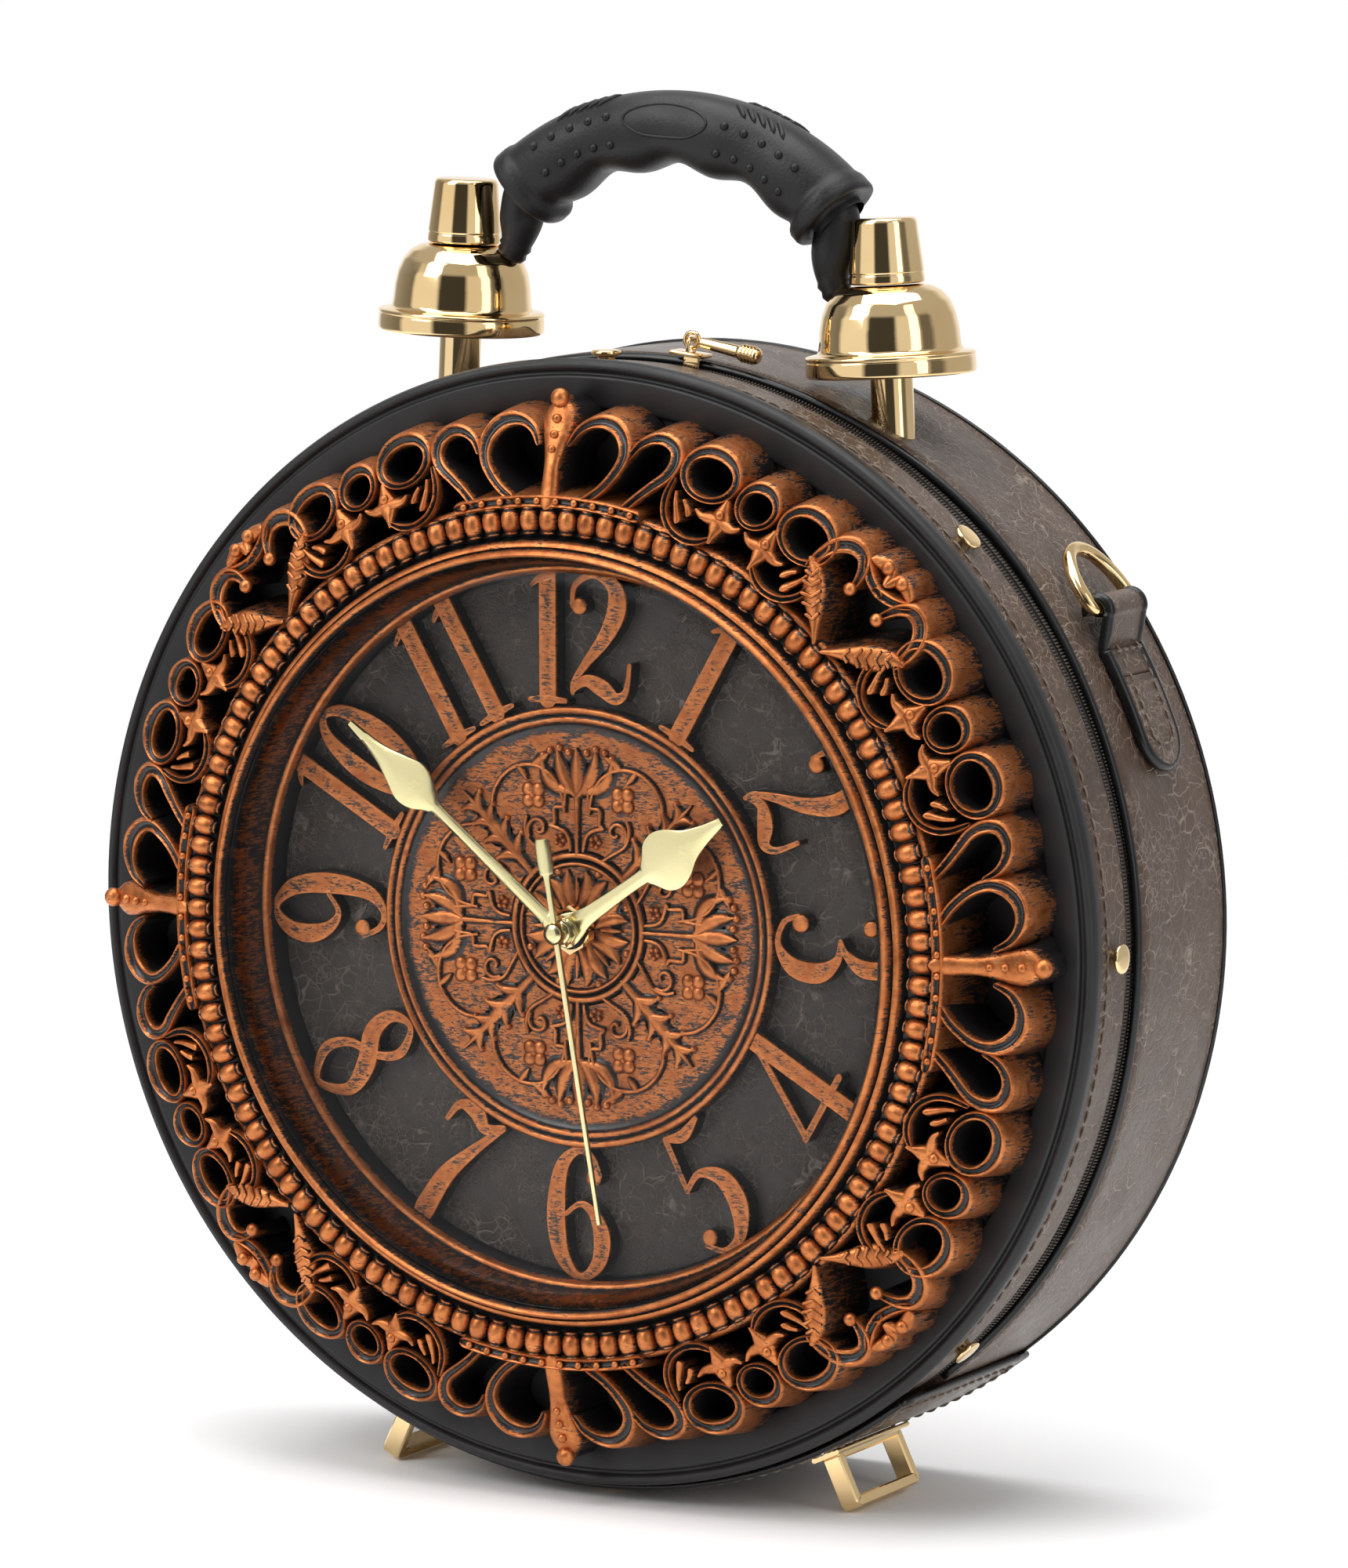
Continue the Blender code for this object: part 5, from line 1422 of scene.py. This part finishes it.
def make_medallion(m):
    """Round plaque with a double rim; its field is cut fine enough to carry the wear."""
    field = [(2.0 * i - 1.0, FIELD_Y) for i in range(1, 23)]
    rim = [(43.4, -3.3), (43.9, -4.0), (44.4, -4.1), (44.9, -3.7), (45.2, -3.3), (45.5, -3.8), (46.0, -4.25),
           (46.6, -4.15), (47.0, -3.6), (47.1, -0.2), (0.0, -0.2)]
    worn = {43.4: 0.3, 43.9: 1.0, 44.4: 1.0, 45.2: 0.1, 45.5: 0.6, 46.0: 1.0, 46.6: 1.0, 47.0: 0.5}
    bm = lathe([(0.0, FIELD_Y)] + field + rim)
    layer = bm.verts.layers.float.new("patina")
    for vert in bm.verts:
        radius = round(math.hypot(vert.co.x, vert.co.z), 1)
        vert[layer] = worn.get(radius, 0.70 if radius < 42.5 else 0.1)
    for i in range(4):
        add_quarter(bm, layer, math.tau * i / 4)
    for radius, width in ((15.4, 1.2), (13.6, 0.7)):
        rows = around([(9.0 * i, radius, width) for i in range(40)], 0.0)
        ribbon(bm, layer, rows, VINE, lambda r: MOTIF_Y, FIELD_Y, closed=True, steps=2)
    for i in range(8):
        angle = math.tau * i / 8
        out = Vector((math.sin(angle), math.cos(angle)))
        side = Vector((out.y, -out.x))
        for hand in (1.0, -1.0):
            leaf(bm, layer, 4.5 * out + hand * 0.7 * side, 12.2 * out + hand * 2.2 * side, 3.0, -hand * 0.9)
        leaf(bm, layer, 6.0 * out, 10.6 * out, 1.2)
        half = math.tau * (i + 0.5) / 8
        other = Vector((math.sin(half), math.cos(half)))
        ball(bm, (12.6 * other.x, FIELD_Y - 0.2, 12.6 * other.y), (0.9, 0.8, 0.9), 6, 10, layer, 1.0)
    put("medallion_relief", bm, m["copper"], "door", "medallion", 60)


def blade(bm, turn, rows, y, thick):
    """Flat pressed hand with a faint crown, from (along, half width) rows."""
    rows = smooth_path(rows, 5)
    out = Vector((math.sin(turn), 0.0, math.cos(turn)))
    side = Vector((out.z, 0.0, -out.x))
    section = ((-1.0, 0.5), (-1.0, -0.30), (-0.86, -0.5), (0.0, -0.62), (0.86, -0.5), (1.0, -0.30),
               (1.0, 0.5))
    rings = []
    for along, half in rows:
        half = max(0.1, half)
        ring = []
        for share, depth in section:
            spot = along * out + share * half * side
            ring.append(bm.verts.new(spot + (y + depth * thick) * BACKWARD))
        rings.append(ring)
    join_rings(bm, rings, caps=True)


HAND_ROWS = {
    "hour": [(-3.6, 2.4), (0.0, 3.6), (4.2, 2.4), (8.0, 1.8), (21.0, 1.5), (23.5, 2.4), (26.5, 5.6),
             (29.5, 6.5), (32.5, 5.6), (36.0, 3.3), (40.0, 2.0), (43.5, 1.3), (45.2, 1.0)],
    "minute": [(-3.0, 1.8), (0.0, 2.9), (4.0, 1.8), (8.0, 1.5), (36.0, 1.2), (40.0, 2.0), (44.0, 4.4),
               (47.5, 5.0), (51.0, 3.8), (56.0, 2.0), (61.0, 1.1), (66.0, 0.6)],
    "second": [(-20.0, 1.0), (-19.2, 1.7), (-13.0, 1.7), (-11.4, 0.7), (0.0, 0.65), (30.0, 0.55),
               (62.0, 0.45)],
}


def make_hands(m):
    """Each hand with its collar, in the order of their heights above the dial."""
    hands = (("hour", "hour", 55.7, -8.4, 0.8, 3.0), ("minute", "minute", 309.0, -10.6, 0.8, 2.7),
             ("second", "seconds", 170.5, -12.8, 0.7, 2.4))
    for name, body, turn, y, thick, collar in hands:
        bm = bmesh.new()
        blade(bm, math.radians(turn), HAND_ROWS[name], y, thick)
        if name == "second":
            stem = [(0.0, y + 0.3), (collar, y + 0.3), (collar, y - 0.9), (2.1, y - 1.5), (1.2, y - 1.9),
                    (0.0, y - 2.0)]
        else:
            stem = [(0.0, y - 0.4), (collar, y - 0.4), (collar, y - 0.9), (collar - 0.6, y - 1.2),
                    (0.0, y - 1.3)]
        lathe(rounded(stem, 0.2), 32, bm=bm)
        put(name + "_hand_blade", bm, m["pale"], body, name + "_hand", 40)


def make_lens(m):
    """Slightly domed clear window, of one thickness throughout."""
    edge, edge_y, rise, thick = 79.3, -16.35, 0.35, 1.1
    front = []
    for i in range(13):
        share = i / 12
        front.append((edge * share, edge_y - rise * (1.0 - share * share)))
    back = [(radius, y + thick) for radius, y in front]
    put("window", lathe(front + back[::-1], 120), m["lens"], "door", "lens")


# ---- camera, light, floor -------------------------------------------------------------------
CAMERA_SPOT = Vector((0.78912, -1.38718, 0.23288))
CAMERA_TURN = (28.96, 7.24, -0.1934)
LENS = 175.25


def outwards(azimuth, elevation):
    """Unit direction from the clock; azimuth turns from its front towards its right side."""
    return Vector((math.sin(azimuth) * math.cos(elevation), -math.cos(azimuth) * math.cos(elevation),
                   math.sin(elevation)))


def link(made):
    bpy.context.scene.collection.objects.link(made)


def make_camera():
    """Long lens, turned round and up from the clock's front."""
    azimuth, elevation, roll = (math.radians(value) for value in CAMERA_TURN)
    back = outwards(azimuth, elevation)
    right = Vector((0, 0, 1)).cross(back).normalized()
    up = back.cross(right)
    right, up = (math.cos(roll) * right + math.sin(roll) * up, math.cos(roll) * up - math.sin(roll) * right)
    data = bpy.data.cameras.new("camera")
    data.lens = LENS
    data.clip_start = 0.05
    data.clip_end = 20.0
    camera = bpy.data.objects.new("camera", data)
    link(camera)
    turn = Matrix((right, up, back)).transposed().to_4x4()
    camera.matrix_world = Matrix.Translation(CENTRE + CAMERA_SPOT) @ turn
    bpy.context.scene.camera = camera


def softbox(name, azimuth, elevation, distance, width, height, watts):
    """Area light facing the clock's centre."""
    away = outwards(math.radians(azimuth), math.radians(elevation))
    data = bpy.data.lights.new(name, "AREA")
    data.shape = "RECTANGLE"
    data.size = width
    data.size_y = height
    data.energy = watts
    lamp = bpy.data.objects.new(name, data)
    link(lamp)
    facing = away.to_track_quat("Z", "Y").to_matrix().to_4x4()
    lamp.matrix_world = Matrix.Translation(CENTRE + distance * away) @ facing


def make_stage():
    """Pale round floor that fades out before its edge, and three soft lights."""
    n = Nodes("pale_floor")
    n.finish(n.ramp(n.noise(3.0, 3.0), (0.3, grey(0.93)), (0.8, grey(0.96))), 0.8)
    reach = 1.6
    away = n.node("VectorMath", operation="LENGTH")
    n.feed(away.inputs[0], n.place)
    share = n.math("DIVIDE", away.outputs["Value"], reach)
    n.feed(n.shader.inputs["Alpha"], n.ramp(share, (0.22, 1.0), (0.60, 0.0)))
    bm = bmesh.new()
    bmesh.ops.create_circle(bm, cap_ends=True, radius=reach, segments=96)
    mesh = bpy.data.meshes.new("floor")
    bm.to_mesh(mesh)
    bm.free()
    mesh.materials.append(n.material)
    floor = bpy.data.objects.new("floor", mesh)
    link(floor)
    softbox("key", -32.0, 40.0, 1.5, 0.7, 0.9, 10.0)
    softbox("fill", 72.0, 24.0, 1.5, 0.4, 1.4, 3.0)
    softbox("top", 0.0, 88.0, 2.0, 2.0, 2.0, 46.0)


# Brightness of the studio's walls against azimuth, in degrees from the front towards the right side.
PANELS = [(-172, 1.0), (-128, 1.0), (-116, 0.40), (-66, 0.22), (-58, 1.0), (-14, 1.0), (-7, 0.06), (34, 0.06),
          (41, 0.85), (76, 0.85), (84, 0.18), (100, 0.18), (110, 0.55), (160, 0.55), (178, 1.0)]


def make_world():
    """White studio with dark gaps between its light panels."""
    world = bpy.data.worlds.new("studio")
    bpy.context.scene.world = world
    n = WorldNodes(world)
    split = n.node("SeparateXYZ")
    n.feed(split.inputs[0], n.place)
    azimuth = n.math("ARCTAN2", split.outputs["X"], n.math("MULTIPLY", split.outputs["Y"], -1.0))
    share = n.math("ADD", n.math("MULTIPLY", azimuth, 1.0 / math.tau), 0.5)
    walls = n.ramp(share, *[((angle + 180.0) / 360.0, level) for angle, level in PANELS])
    ceiling = n.ramp(split.outputs["Z"], (0.42, 0.0), (0.62, 1.0))
    background = n.tree.nodes["Background"]
    n.feed(background.inputs["Color"], n.mix(ceiling, walls, (*grey(0.55), 1.0)))
    background.inputs["Strength"].default_value = 1.0
    bpy.context.scene.view_settings.view_transform = "Standard"


CARRIED = {
    "cloth": ("shell_lining",),
    "board": ("door_board",),
    "black": ("movement_case", "movement_cover"),
    "steel": ("battery", "rotor"),
    "winding": ("coil",),
    "gold": ("hub_nut", "post_nut_right", "post_nut_left"),
    "gears": ("hour_wheel", "minute_arbor", "seconds_arbor", "third_wheel", "intermediate_wheel",
              "motion_wheel", "setting_knob"),
    "dial": ("dial_leather",),
}


def finish_carried(m):
    """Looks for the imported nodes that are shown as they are."""
    for key, names in CARRIED.items():
        for name in names:
            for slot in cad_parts[name].material_slots:
                slot.material = m[key]


def build():
    m = make_materials()
    make_camera()
    make_stage()
    make_world()
    finish_carried(m)
    for make in (make_rim, make_band, make_shell, make_zip, make_base, make_rivets, make_feet, make_bells,
                 make_core, make_grip):
        make(m)
    for side, label in SIDES.items():
        make_ring(m, side, label)
        make_tab(m, side, label)
    for make in (make_slider, make_ornament, make_bezel, make_numbers, make_medallion, make_hands, make_lens):
        make(m)


build()
